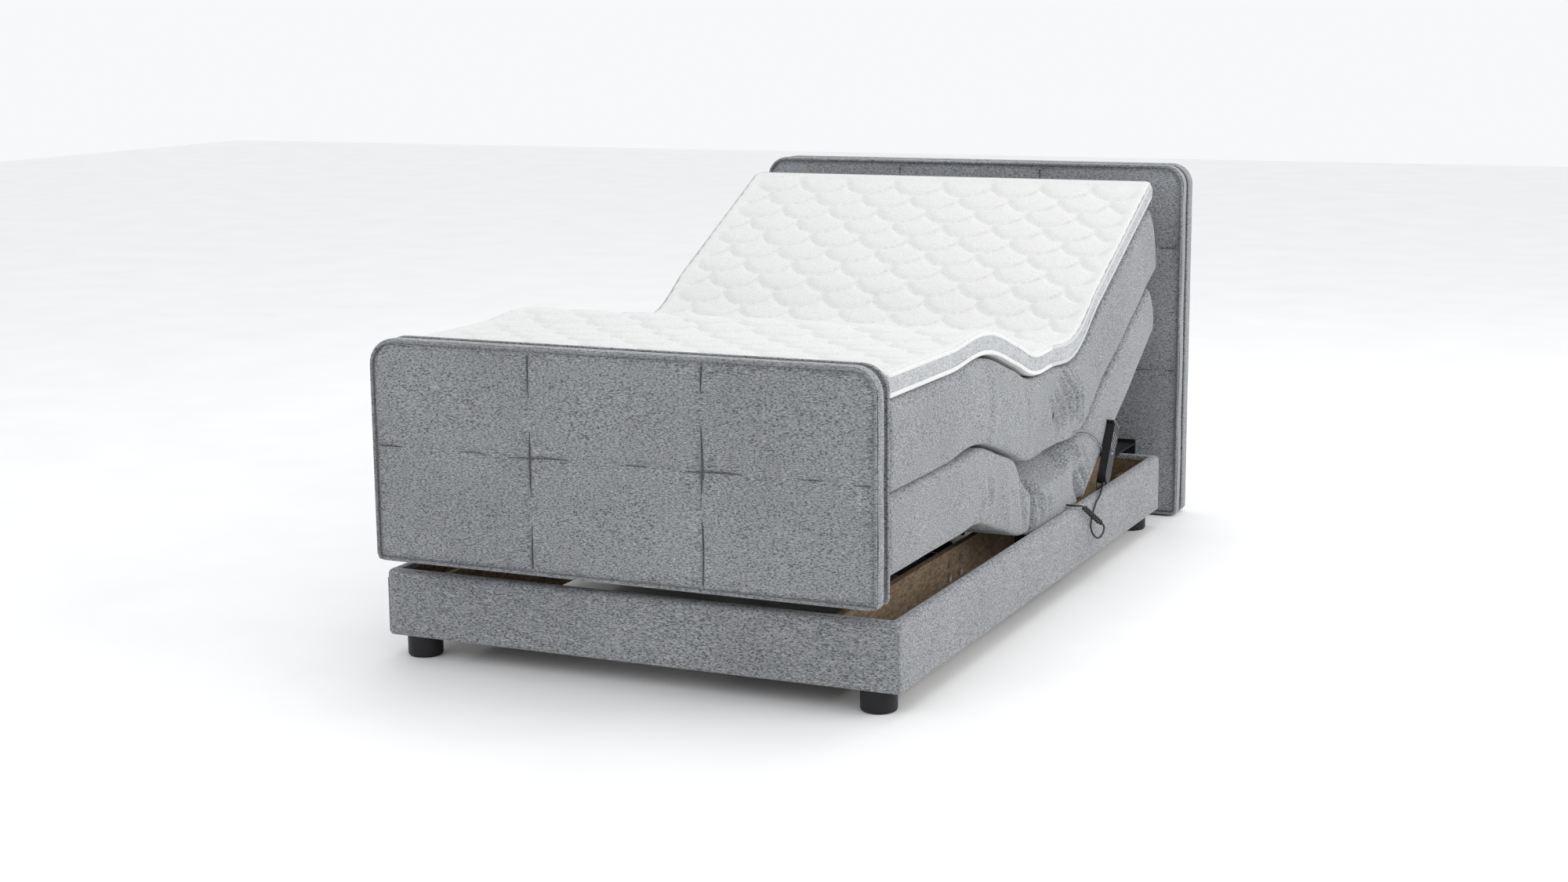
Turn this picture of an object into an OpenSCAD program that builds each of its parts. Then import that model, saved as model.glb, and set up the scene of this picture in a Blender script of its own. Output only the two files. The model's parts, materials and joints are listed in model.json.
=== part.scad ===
// Upholstered adjustable bed: a plinth on four feet, a folding base with mattress and topper,
// a headboard, a footboard that rides on the base, a twin-shaft lift drive and a wired handset.
// The foot end is toward -Y. Sections are drawn flat and then laid into the raised pose.

/* [Plinth] */
// Width over the upholstery
plinth_w = 1250; // [1100:5:1450]
// Length over the upholstery
plinth_l = 1970; // [1900:5:2200]
// Height of the side panels
plinth_h = 152; // [130:1:200]
// Thickness of the chipboard panels
board_t = 16; // [12:1:19]
// Padding outside the panels
wrap_t = 7; // [5:1:10]
// Height of the feet
foot_h = 52; // [40:1:90]
// Diameter of the feet
foot_d = 80; // [60:1:100]
// Outer face of the inner bearer boards, from the middle
bearer_x = 485; // [440:1:500]

/* [Layers] */
// Width of base and mattress
bed_w = 1194; // [1060:2:1196]
// Width of the topper
topper_w = 1190; // [1060:2:1196]
// Thickness of the folding base
base_t = 172; // [140:1:200]
// Thickness of the mattress
mattress_t = 197; // [140:1:240]
// Thickness of the topper
topper_t = 60; // [50:1:80]
// Radius of the long edges
edge_r = 18; // [8:1:24]

/* [Sections] */
// Free gap between plinth and base
rest_gap = 2; // [1:0.5:6]
// Hinge between thigh and seat, from the plinth's foot end
seat_start = 852; // [800:1:900]
// Length of the seat
seat_len = 508; // [480:1:560]
// Length of the thigh section
thigh_len = 300; // [280:1:360]
// Length of the back section
back_len = 715; // [690:1:717]
// How much the underside of the back rises toward the head
back_taper = 40; // [0:1:50]
// Back angle as shown, degrees
back_rest = 26; // [10:1:35]
// Highest back angle, degrees
back_max = 40; // [36:1:45]
// Thigh angle as shown, degrees
thigh_rest = 17; // [15:1:20]
// Highest thigh angle, degrees
thigh_max = 29; // [24:1:30]

/* [Head and footboard] */
// Width of the headboard
head_w = 1274; // [1255:2:1500]
// Top of the headboard above the floor
head_top = 1000; // [900:5:1200]
// Thickness of the headboard
head_t = 109; // [80:1:120]
// Gap between plinth and headboard
head_gap = 133; // [132:1:160]
// Width of the footboard
foot_w = 1204; // [1080:2:1240]
// Height of the footboard panel
foot_panel_h = 499; // [440:1:520]
// Thickness of the footboard
foot_t = 74; // [60:1:80]
// Corner radius of both boards
corner_r = 60; // [30:1:80]

/* [Drive] */
// Diameter of the torsion shafts
shaft_d = 30; // [25:1:32]
// Height of the torsion shafts above the floor
shaft_z = 150; // [148:1:154]
// Diameter of the hinge pins
pin_d = 10; // [8:0.5:12]
// Radial clearance of running fits
run_gap = 0.05; // [0.02:0.01:0.09]

/* [Handset] */
// Length of the handset
hand_l = 165; // [140:1:200]
// Width of the handset
hand_w = 50; // [46:1:56]
// Depth of the case behind its front plate
hand_t = 18; // [16:1:22]
// Lean of the handset toward the head, degrees
hand_lean = 33; // [0:1:40]
// Travel of a button
key_travel = 0.8; // [0.4:0.1:1.2]
// Diameter of the cord
cord_d = 5; // [4:0.5:6]
// Outer diameter of the curly part
coil_d = 15; // [13:0.5:18]

/* [Hidden] */
$fn = 48;

fabric = [0.60, 0.62, 0.64];
chip = [0.45, 0.34, 0.22];
steel = [0.08, 0.08, 0.09];
white = [0.93, 0.93, 0.91];

rim_z = foot_h + plinth_h;
fold_strip = 2;
wall_in = wrap_t + board_t + fold_strip;
z0 = rim_z + rest_gap;
z1 = z0 + base_t;
z2 = z1 + mattress_t;
z3 = z2 + topper_t;
slit = 0.5;
layer_gap = 1.5;

// Fold lines: y of the knee, the thigh hinge and the back hinge, for base, mattress, topper.
back_y = seat_start + seat_len;
knee_y = seat_start - thigh_len;
lead_thigh = [0, base_t * tan(thigh_max / 2), (base_t + mattress_t) * tan(thigh_max / 2)];
lead_back = [0, base_t * tan(15), (base_t + mattress_t) * tan(15)];
layer_z = [z0, z1, z2, z3];
knee_dy = thigh_len * (1 - cos(thigh_rest));
knee_dz = thigh_len * sin(thigh_rest);

// Lift that keeps a layer clear of the one below it up to the highest back angle.
function back_lift(t) = t * (1 - cos(back_max)) - t * tan(15) * sin(back_max) + layer_gap;
lift_m = back_lift(base_t);
lift_t = back_lift(mattress_t);

foot_back = 6;
foot_front = foot_back - foot_t;
foot_z = z0 + knee_dz - 52;
calf_end = foot_back + 2 - knee_dy;
head_y = plinth_l + head_gap;
head_z = 4;
head_end = back_y + back_len;
mid_y = (head_y + head_t + foot_front) / 2;

frame_h = 25;
deck_t = 8;
frame_x = 465;
pocket_x = frame_x + 4;
lug_r = 11;
pin_r = pin_d / 2;
hinge_clear = lug_r + 3;

beam_y = [697, 1620];
beam_w = 50;
beam_h = 50;
beam_z = rim_z - 76;
bolt_z = [beam_z + 8, beam_z + 42];
rail_x = 300;
shaft_r = shaft_d / 2;
back_shaft_y = back_y - 30;
leg_shaft_y = seat_start + 48;
arm_x = 372;
arm_t = 8;
roller_r = 16;
back_arm = 230;
leg_arm = 150;

// Arm angles: a straight-line follower of the frame angle that never lifts off or digs in.
function arm_angle(run, drop, arm, a) =
  a + asin((drop * cos(a) - run * sin(a) - roller_r - 1) / arm);
shaft_drop = z0 - shaft_z;
back_arm0 = arm_angle(30, shaft_drop, back_arm, 0);
back_arm1 = arm_angle(30, shaft_drop, back_arm, back_max);
leg_arm0 = arm_angle(48, shaft_drop, leg_arm, 0);
leg_arm1 = arm_angle(48, shaft_drop, leg_arm, thigh_max);
back_arm_rest = back_arm0 + (back_arm1 - back_arm0) * back_rest / back_max;
leg_arm_rest = leg_arm0 + (leg_arm1 - leg_arm0) * thigh_rest / thigh_max;

hand_x = plinth_w / 2 - wall_in + 2;
hand_y = back_y + 102;
hand_z = rim_z + 18;
plate_t = 2.5;
key_rise = 1.5;
key_w = 9;
key_h = 13;
key_gap = 0.4;
key_rows = [128, 100];
key_cols = [-14, 0, 14];

// Cord routes, from the handset down, round one loose loop and up to the coil; then inside.
upper_path = [
  [613, 1461, 220], [613, 1458, 215], [613, 1453, 211], [615, 1444, 209], [618, 1432, 208],
  [621, 1419, 208], [625, 1405, 208], [628, 1391, 207], [630, 1377, 204], [630, 1364, 200],
  [629, 1352, 194], [629, 1341, 187], [629, 1331, 179], [629, 1322, 170], [629, 1314, 160],
  [629, 1307, 150], [630, 1301, 140], [633, 1298, 130], [637, 1299, 120], [641, 1305, 112],
  [644, 1315, 107], [646, 1327, 106], [647, 1339, 108], [648, 1350, 113], [648, 1359, 120],
  [647, 1363, 127], [645, 1360, 133], [643, 1352, 137]
];
lower_path = [
  [636, 1214, 208], [634, 1207, 211], [628, 1202, 212], [617, 1200, 212], [605, 1200, 212],
  [592, 1200, 212], [580, 1200, 211], [570, 1200, 208], [561, 1200, 202], [554, 1200, 194],
  [549, 1200, 184], [546, 1200, 172], [545, 1200, 160]
];
hand_move = [hand_x - 602, hand_y - 1462, rim_z - 204];
box_move = [bearer_x - 485, hand_y - 1462, rim_z - 204];
upper_route = [for (p = upper_path) p + hand_move];
lower_route = [for (i = [0 : len(lower_path) - 1])
  let (t = min(1, max(0, (i - 4) / 4))) lower_path[i] + (1 - t) * hand_move + t * box_move];
coil_from = upper_route[len(upper_route) - 1];
coil_to = lower_route[0];
gland_z = rim_z - 54;

// ---- shared shapes ----

module round_rect(w, h, r) {
  square([w - 2 * r, h], center = true);
  square([w, h - 2 * r], center = true);
  for (x = [-1, 1], y = [-1, 1]) translate([x * (w / 2 - r), y * (h / 2 - r)]) circle(r);
}

// Upright panel outline, standing on its lower edge, with its own top and bottom radii.
module panel_2d(w, h, rt, rb) {
  translate([-w / 2, rb]) square([w, h - rt - rb]);
  translate([-w / 2 + rt, rb]) square([w - 2 * rt, h - rb]);
  translate([-w / 2 + rb, 0]) square([w - 2 * rb, h - rt]);
  for (x = [-1, 1]) {
    translate([x * (w / 2 - rt), h - rt]) circle(rt);
    translate([x * (w / 2 - rb), rb]) circle(rb);
  }
}

module panel(w, h, rt, rb, y, t, z) {
  translate([0, y + t, z]) rotate([90, 0, 0]) linear_extrude(t) panel_2d(w, h, rt, rb);
}

// Padded layer: a side outline drawn as [y, z] points, with rounded long edges.
module layer(points, w, bottom, top, r) {
  intersection() {
    rotate([90, 0, 90]) translate([0, 0, -w / 2]) linear_extrude(w) polygon(points);
    translate([0, 3000, (bottom + top) / 2]) rotate([90, 0, 0]) linear_extrude(4000)
      round_rect(w, top - bottom, r);
  }
}

module both_sides() {
  children();
  mirror([1, 0, 0]) children();
}

module x_bar(x, y, z, r, len) {
  translate([x, y, z]) rotate([0, 90, 0]) cylinder(r = r, h = len);
}

module turn_at(y, z, a) {
  translate([0, y, z]) rotate([a, 0, 0]) translate([0, -y, -z]) children();
}

module lay_back(i) { turn_at(back_y - lead_back[i], layer_z[i], back_rest) children(); }
module lay_thigh(i) { turn_at(seat_start + lead_thigh[i], layer_z[i], -thigh_rest) children(); }
module lay_calf() { translate([0, knee_dy, knee_dz]) children(); }
module centred() { translate([0, -mid_y, 0]) children(); }

// Tube swept along route points: eight-sided rings, kept upright by a fixed reference.
function unit(v) = v / norm(v);
function tangent(p, i) = unit(p[min(i + 1, len(p) - 1)] - p[max(i - 1, 0)]);
function side_dir(t) = unit(cross(t, abs(t[0]) < 0.8 ? [1, 0, 0] : [0, 1, 0]));
function ring(p, i, r) = let (t = tangent(p, i), a = side_dir(t), b = cross(t, a))
  [for (k = [0 : 7]) p[i] + r * (cos(45 * k) * a + sin(45 * k) * b)];
module tube(p, r) {
  n = len(p);
  pts = [for (i = [0 : n - 1]) each ring(p, i, r)];
  walls = [for (i = [0 : n - 2], k = [0 : 7], h = [0, 1]) let (
    a = i * 8 + k, b = i * 8 + (k + 1) % 8) h == 0 ? [a, a + 8, b] : [b, a + 8, b + 8]];
  ends = [[for (k = [0 : 7]) k], [for (k = [7 : -1 : 0]) (n - 1) * 8 + k]];
  polyhedron(pts, concat(walls, ends));
}

// ---- plinth ----

module plinth_cover() color(fabric) difference() {
  translate([0, plinth_l / 2, foot_h]) linear_extrude(plinth_h)
    round_rect(plinth_w, plinth_l, 15);
  translate([0, plinth_l / 2, foot_h]) {
    translate([0, 0, -1]) linear_extrude(plinth_h + 2)
      square([plinth_w - 2 * wall_in, plinth_l - 2 * wall_in], center = true);
    translate([0, 0, -1]) linear_extrude(plinth_h - 39)
      square([plinth_w - 2 * (wrap_t + board_t), plinth_l - 2 * (wrap_t + board_t)],
             center = true);
    translate([0, 0, 2]) difference() {
      linear_extrude(plinth_h - 7) square([plinth_w - 2 * wrap_t, plinth_l - 2 * wrap_t],
                                          center = true);
      translate([0, 0, -1]) linear_extrude(plinth_h)
        square([plinth_w - 2 * (wrap_t + board_t), plinth_l - 2 * (wrap_t + board_t)],
               center = true);
    }
  }
}

module side_boards() color(chip) both_sides()
  translate([plinth_w / 2 - wrap_t - board_t, wrap_t + board_t, foot_h + 2])
    cube([board_t, plinth_l - 2 * (wrap_t + board_t), plinth_h - 7]);

module end_boards() color(chip) for (y = [wrap_t, plinth_l - wrap_t - board_t])
  translate([-plinth_w / 2 + wrap_t, y, foot_h + 2])
    cube([plinth_w - 2 * wrap_t, board_t, plinth_h - 7]);

module corner_blocks() color(chip) both_sides()
  for (y = [wrap_t + board_t, plinth_l - wrap_t - board_t - 54])
    translate([plinth_w / 2 - wrap_t - board_t - 84, y, foot_h]) cube([84, 54, 100]);

module bearer_boards() color(chip) both_sides() difference() {
  translate([bearer_x - board_t, wall_in, foot_h + 8])
    cube([board_t, plinth_l - 2 * wall_in, plinth_h - 10]);
  for (y = beam_y, dy = [-37, 38], z = bolt_z) x_bar(bearer_x - board_t - 1, y + dy, z, 4.2, board_t + 2);
}

module bearer_bolts() color(steel) both_sides() for (y = beam_y, dy = [-37, 38], z = bolt_z) {
  x_bar(bearer_x, y + dy, z, 8, 4.5);
  x_bar(bearer_x - board_t - 14, y + dy, z, 4, board_t + 14.2);
  x_bar(bearer_x - board_t - 11.5, y + dy, z, 7, 6.4);
}

module foot_profile() {
  polygon([[0, 0], [foot_d / 2 - 6, 0], [foot_d / 2 - 2, 2], [foot_d / 2, 6],
           [foot_d / 2, foot_h], [0, foot_h]]);
}
module feet() color(steel) both_sides() for (y = [50, plinth_l - 50])
  translate([plinth_w / 2 - 67, y, 0]) rotate_extrude() foot_profile();

// ---- lift frame ----

module cross_members() color(steel) for (y = beam_y) {
  difference() {
    union() {
      translate([-bearer_x + board_t + 5, y - beam_w / 2, beam_z])
        cube([2 * (bearer_x - board_t - 5), beam_w, beam_h]);
      both_sides() translate([bearer_x - board_t - 5, y - 57, beam_z - 10])
        cube([5, 115, 70]);
    }
    translate([-bearer_x, y - beam_w / 2 + 3, beam_z + 3])
      cube([2 * bearer_x, beam_w - 6, beam_h - 6]);
    both_sides() for (dy = [-37, 38], z = bolt_z)
      x_bar(bearer_x - board_t - 6, y + dy, z, 4.2, 8);
  }
}

module bearing_rails() color(steel) both_sides() {
  difference() {
    union() {
      translate([rail_x - 20, beam_y[0] - beam_w / 2, beam_z + beam_h])
        cube([40, beam_y[1] - beam_y[0] + beam_w, rim_z - beam_z - beam_h]);
      translate([rail_x - 20, seat_start + 16, rim_z - 1]) cube([40, seat_len - 32, rest_gap + 1]);
      for (y = [leg_shaft_y, back_shaft_y]) {
        x_bar(rail_x - 3, y, shaft_z, shaft_r + 9, 6);
        translate([rail_x - 3, y - shaft_r - 9, shaft_z])
          cube([6, shaft_d + 18, beam_z + beam_h - shaft_z + 1]);
      }
    }
    for (y = [leg_shaft_y, back_shaft_y])
      x_bar(rail_x - 6, y, shaft_z, shaft_r + run_gap, 12);
  }
}

// Section tray: deck and side rails, with hinge lugs at its foot and head ends.
// A lug list holds [y, inner x, bore radius, direction of the tray from the hinge].
module tray(y_from, y_to, lugs) difference() {
  union() {
    translate([-frame_x, y_from, z0 + frame_h]) cube([2 * frame_x, y_to - y_from, deck_t]);
    both_sides() {
      translate([frame_x - 25, y_from, z0]) cube([25, y_to - y_from, frame_h + 1]);
      for (l = lugs) {
        x_bar(l[1], l[0], z0, lug_r, 5);
        translate([l[1], l[3] > 0 ? l[0] : l[0] - hinge_clear - 4, z0 - 4])
          cube([5, hinge_clear + 4, lug_r + 4]);
        translate([l[1], l[3] > 0 ? l[0] + 8 : l[0] - hinge_clear - 4, z0])
          cube([5, hinge_clear - 4, frame_h]);
      }
    }
  }
  both_sides() {
    translate([frame_x - 23, y_from - 1, z0 + 2]) cube([21, y_to - y_from + 2, frame_h - 4]);
    for (l = lugs) x_bar(l[1] - 1, l[0], z0, l[2], 7);
  }
}

parent_lug_x = frame_x - 25;
child_lug_x = frame_x - 19;

module seat_frame() color(steel)
  tray(seat_start + hinge_clear, back_y - hinge_clear,
       [[seat_start, parent_lug_x, pin_r, 1], [back_y, parent_lug_x, pin_r, -1]]);

module back_frame() color(steel) lay_back(0) {
  tray(back_y + hinge_clear, back_y + 400, [[back_y, child_lug_x, pin_r + run_gap, 1]]);
  both_sides() translate([arm_x + 10, back_y + 60, z0]) cube([16, 270, frame_h + 1]);
}

module thigh_frame() color(steel) lay_thigh(0) {
  tray(knee_y + hinge_clear, seat_start - hinge_clear,
       [[seat_start, child_lug_x, pin_r + run_gap, -1], [knee_y, parent_lug_x, pin_r, 1]]);
  both_sides() translate([arm_x + 10, seat_start - 140, z0]) cube([16, 90, frame_h + 1]);
}

module calf_frame() color(steel) lay_calf()
  tray(calf_end + 30, knee_y - hinge_clear, [[knee_y, child_lug_x, pin_r + run_gap, -1]]);

module hinge_pin(y) both_sides() {
  x_bar(parent_lug_x - 2, y, z0, pin_r, 15);
  x_bar(parent_lug_x - 5, y, z0, pin_r + 3, 5);
}
module hinge_pins() color(steel) for (y = [seat_start, back_y]) hinge_pin(y);
module knee_pins() color(steel) lay_thigh(0) hinge_pin(knee_y);

// ---- drive ----

module arm_side(reach, a, toward) {
  // flat lever from the shaft to the roller pin, drawn in the Y-Z plane
  translate([arm_x, 0, 0]) rotate([toward > 0 ? a : 180 - a, 0, 0]) {
    translate([0, 0, -10]) cube([arm_t, reach, 20]);
    x_bar(0, 0, 0, 20, arm_t);
    x_bar(0, reach, 0, 12, arm_t);
    x_bar(-2, reach, 0, 6, 28);
  }
}

module shaft(y, reach, a, toward) color(steel) translate([0, y, shaft_z]) {
  x_bar(-400, 0, 0, shaft_r, 800);
  both_sides() arm_side(reach, a, toward);
  translate([-4, 0, 0]) {
    x_bar(0, 0, 0, shaft_r + 5, 8);
    translate([0, -8, -34]) cube([8, 16, 34]);
  }
}

module rollers(y, reach, a, toward) color("dimgray") both_sides()
  translate([arm_x + arm_t + 2, y + toward * reach * cos(a), shaft_z + reach * sin(a)])
    difference() {
      x_bar(0, 0, 0, roller_r, 14);
      x_bar(-1, 0, 0, 6, 16);
    }

module back_shaft() shaft(back_shaft_y, back_arm, back_arm_rest, 1);
module back_rollers() rollers(back_shaft_y, back_arm, back_arm_rest, 1);
module leg_shaft() shaft(leg_shaft_y, leg_arm, leg_arm_rest, -1);
module leg_rollers() rollers(leg_shaft_y, leg_arm, leg_arm_rest, -1);

case_y0 = leg_shaft_y - 40;
case_y1 = back_shaft_y + 40;
case_low = 98;
case_high = 198;

module motor_case_half(low, high) difference() {
  translate([-80, case_y0, low]) cube([160, case_y1 - case_y0, high - low]);
  translate([-76, case_y0 + 4, case_low + 4])
    cube([152, case_y1 - case_y0 - 8, case_high - case_low - 8]);
  for (y = [leg_shaft_y, back_shaft_y]) x_bar(-90, y, shaft_z, shaft_r + 1, 180);
}
module motor_case_lower() color("#2a2b2d") motor_case_half(case_low, shaft_z);
module motor_case_upper() color("#2a2b2d") motor_case_half(shaft_z, case_high);

// Two gear motors standing on the case floor, each with its lead screw toward its shaft.
module gear_motors() color("silver") for (d = [-1, 1])
  translate([0, (leg_shaft_y + back_shaft_y) / 2, shaft_z - 8]) rotate([d > 0 ? -90 : 90, 0, 0]) {
    translate([0, 0, 8]) cylinder(r = 38, h = 70);
    translate([0, 0, 78]) cylinder(r = 7, h = 90);
  }

box_y = hand_y - 262;
module control_box() color("#232425") difference() {
  union() {
    translate([bearer_x, box_y - 70, gland_z - 84]) cube([100, 140, 84]);
    translate([bearer_x + 30, box_y + 70, gland_z - 66]) cube([40, 16, 30]);
  }
  translate([bearer_x + 37, box_y + 74, gland_z - 60]) cube([26, 14, 18]);
}

module cord_gland() color("#1b1b1c") translate([bearer_x + 60, box_y, gland_z]) difference() {
  cylinder(r = 7, h = 10);
  translate([0, 0, -1]) cylinder(r = cord_d / 2, h = 12);
}

// ---- headboard and footboard ----

module head_bolt_holes(y, len) both_sides() for (z = [rim_z - 46, rim_z - 16])
  translate([bracket_x + 25, y, z]) rotate([-90, 0, 0]) cylinder(r = 4.2, h = len);
module headboard_front_pad() color(fabric) difference() {
  panel(head_w, head_top - head_z, corner_r, 12, head_y, head_t * 0.43, head_z);
  head_bolt_holes(head_y - 1, head_t);
}
module headboard_core() color(chip) difference() {
  panel(head_w - 24, head_top - head_z - 24, corner_r - 12, 6, head_y + head_t * 0.43,
        board_t, head_z + 12);
  head_bolt_holes(head_y, head_t * 0.43 + board_t - 2);
}
module headboard_back_pad() color(fabric)
  panel(head_w, head_top - head_z, corner_r, 12, head_y + head_t * 0.43 + board_t,
        head_t * 0.57 - board_t, head_z);
bracket_x = bearer_x - 20;
module headboard_brackets() color(steel) difference() {
  both_sides() {
    translate([bracket_x, plinth_l - 70, rim_z]) cube([50, head_gap + 70, 6]);
    translate([bracket_x, head_y - 6, rim_z - 60]) cube([50, 6, 74]);
  }
  head_bolt_holes(head_y - 7, 8);
}
module headboard_screws() color(steel) both_sides() for (z = [rim_z - 46, rim_z - 16])
  translate([bracket_x + 25, head_y - 9, z]) rotate([-90, 0, 0]) {
    cylinder(r = 8, h = 3);
    cylinder(r = 4, h = 9 + head_t * 0.43 + board_t - 4);
  }

front_pad_t = foot_t - board_t - 12;
module footboard_front_pad() color(fabric)
  panel(foot_w, foot_panel_h, corner_r, 12, foot_front, front_pad_t, foot_z);
module foot_screw_holes() both_sides() for (x = [392, 418])
  translate([x, foot_back + 9, z0 + 12 + knee_dz]) rotate([90, 0, 0]) cylinder(r = 2.7, h = 34);
module footboard_core() color(chip) difference() {
  panel(foot_w - 24, foot_panel_h - 24, corner_r - 12, 6, foot_front + front_pad_t, board_t,
        foot_z + 12);
  foot_screw_holes();
}
module footboard_back_pad() color(fabric) difference() {
  panel(foot_w, foot_panel_h, corner_r, 12, foot_back - 12, 12, foot_z);
  foot_screw_holes();
}
module footboard_brackets() color(steel) difference() {
  lay_calf() both_sides() {
    translate([380, foot_back - knee_dy, z0 + frame_h - 5]) cube([50, 180, 5]);
    translate([380, foot_back - knee_dy, z0 + 1]) cube([50, 5, frame_h - 1]);
  }
  foot_screw_holes();
}
module footboard_screws() color(steel) lay_calf() both_sides() for (x = [392, 418])
  translate([x, foot_back - knee_dy + 8, z0 + 12]) rotate([90, 0, 0]) {
    cylinder(r = 5, h = 3);
    cylinder(r = 2.5, h = 32);
  }

// ---- padded layers ----

function wedge(half, t) = t * tan(half + 0.3);

// Side outlines, drawn flat. Every fold opens from a line at the bottom of its own layer.
function calf_points(i, lift) = [
  [calf_end + (i > 0 ? 2 : 0), layer_z[i] + lift], [calf_end + (i > 0 ? 2 : 0), layer_z[i + 1]],
  [knee_y + lead_thigh[i] - slit, layer_z[i + 1]], [knee_y + lead_thigh[i] - slit, layer_z[i] + lift]
];
function thigh_points(i, lift) = let (t = layer_z[i + 1] - layer_z[i], y = seat_start + lead_thigh[i])
  [[knee_y + lead_thigh[i] + slit, layer_z[i] + lift], [knee_y + lead_thigh[i] + slit, layer_z[i + 1]],
   [y - slit - wedge(thigh_max / 2, t) - 12, layer_z[i + 1]],
   [y - slit - wedge(thigh_max / 2, t - 12), layer_z[i + 1] - 12],
   [y - slit - wedge(thigh_max / 2, lift), layer_z[i] + lift]];
function seat_nip(i) = i == 0 ? 0
  : max(1, (layer_z[i] - layer_z[i - 1]) * (tan(back_max / 2) - tan(15)) - 5.5);
function seat_points(i) = let (t = layer_z[i + 1] - layer_z[i], ya = seat_start + lead_thigh[i],
                               yb = back_y - lead_back[i], nip = seat_nip(i), up = 1.6 * nip)
  concat([[ya + slit, layer_z[i]], [ya + slit + wedge(thigh_max / 2, t), layer_z[i + 1]],
          [yb - slit - wedge(back_max / 2, t), layer_z[i + 1]]],
         i == 0 ? [] : [[yb - slit - wedge(back_max / 2, up), layer_z[i] + up]],
         [[yb - slit - nip, layer_z[i]]]);
function back_points(i, lift, rise, end, lean) =
  let (t = layer_z[i + 1] - layer_z[i], y = back_y - lead_back[i])
  [[y + slit + wedge(back_max / 2, lift), layer_z[i] + lift],
   [y + slit + wedge(back_max / 2, t - 12), layer_z[i + 1] - 12],
   [y + slit + wedge(back_max / 2, t) + 12, layer_z[i + 1]],
   [end + lean, layer_z[i + 1]], [end, layer_z[i] + max(lift, rise)]];

// The base straddles the steel trays, so its underside is open between the side skirts.
module base(points) color(fabric) difference() {
  layer(points, bed_w, z0, z1, edge_r);
  translate([-pocket_x, -100, z0 - 1]) cube([2 * pocket_x, 2400, frame_h + deck_t + 1]);
}

module base_calf() lay_calf() base(calf_points(0, 0));
module base_thigh() lay_thigh(0) base(thigh_points(0, 0));
module base_seat() difference() {
  base(seat_points(0));
  translate([pocket_x - 20, box_y - 10, z0 - 1]) cube([150, 22, 18]);
}
module base_back() lay_back(0) base(back_points(0, 0, back_taper, head_end, 15));

module mattress(points) color(fabric) layer(points, bed_w, z1, z2, edge_r);
module mattress_calf() lay_calf() mattress(calf_points(1, layer_gap));
module mattress_thigh() lay_thigh(1) mattress(thigh_points(1, layer_gap));
module mattress_seat() mattress(seat_points(1));
module mattress_back() lay_back(1) mattress(back_points(1, lift_m, 0, head_end + 5, 15));

module topper(points) color(white) layer(points, topper_w, z2, z3, edge_r);
module topper_calf() lay_calf() topper(calf_points(2, layer_gap));
module topper_thigh() lay_thigh(2) topper(thigh_points(2, layer_gap));
module topper_seat() topper(seat_points(2));
module topper_back() lay_back(2) topper(back_points(2, lift_t, 0, head_end - 39, 4));

// ---- handset ----

module at_handset() translate([hand_x, hand_y, hand_z]) rotate([-hand_lean, 0, 0]) children();

module hand_2d(w, l, rt, rb) { panel_2d(w, l, rt, rb); }
module hand_slab(x, t, w, l, rb, z) translate([x, 0, z]) rotate([90, 0, 90]) linear_extrude(t)
  hand_2d(w, l, 4, rb);

module key_prism(x, t, grow, col, row) translate([x, key_cols[col], key_rows[row]])
  rotate([90, 0, 90]) linear_extrude(t) {
    w = key_w / 2 + grow;
    for (s = [-1, 1]) translate([0, s * (key_h - key_w) / 2]) circle(w);
    square([2 * w, key_h - key_w], center = true);
  }

module handset_case() color("#151516") at_handset() difference() {
  union() {
    hand_slab(0, hand_t, hand_w, hand_l - 5, 20, 0);
    translate([-3.2, -hand_w / 2 - 4, hand_l - 5.2]) cube([hand_t + 3.2, hand_w + 6, 5.2]);
  }
  hand_slab(3, hand_t, hand_w - 6, hand_l - 14, 17, 3);
  translate([hand_t / 2 + 2, 0, -1]) cylinder(r = 3, h = 6);
}

module handset_plate() color("#3a3c3f") at_handset() difference() {
  hand_slab(hand_t, plate_t, hand_w - 3, hand_l - 7, 19, 1);
  for (c = [0 : 2], r = [0 : 1]) key_prism(hand_t - 1, plate_t + 2, key_gap, c, r);
  x_bar(hand_t - 1, 0, 82, 2.6, plate_t + 2);
}

module handset_light() color("#3060ff") at_handset() x_bar(hand_t - 3, 0, 82, 2.5, plate_t + 3.2);

module key(c, r) color("#0c0c0d") at_handset() {
  key_prism(hand_t - 5, plate_t + key_rise + 5, 0, c, r);
  key_prism(hand_t - 5, 2, 1.5, c, r);
}
module key_back_up() key(0, 0);
module key_leg_up() key(1, 0);
module key_both_up() key(2, 0);
module key_back_down() key(0, 1);
module key_leg_down() key(1, 1);
module key_both_down() key(2, 1);

// Strip screwed inside the side board; the handset's flange hangs over its top end.
strip_x = plinth_w / 2 - wall_in - 1.5;
module handset_hanger() color(steel) translate([strip_x, 0, 0]) rotate([90, 0, 90])
  linear_extrude(1.5) {
    translate([hand_y - 12, rim_z - 50]) square([40, 70]);
    translate([hand_y, hand_z]) rotate(-hand_lean) translate([-14, -8])
      square([28, hand_l + 2]);
  }

module cord_strain_relief() color("#111112") at_handset()
  translate([hand_t / 2 + 2, 0, -8]) difference() {
    union() {
      cylinder(r = cord_d / 2 + 2, h = 8);
      translate([0, 0, 7]) cylinder(r = 3, h = 6);
    }
    translate([0, 0, -1]) cylinder(r = cord_d / 2, h = 8);
  }

module cord_upper() color("#0f0f10") tube(upper_route, cord_d / 2);
module cord_lower() color("#0f0f10") tube(lower_route, cord_d / 2);

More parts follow.
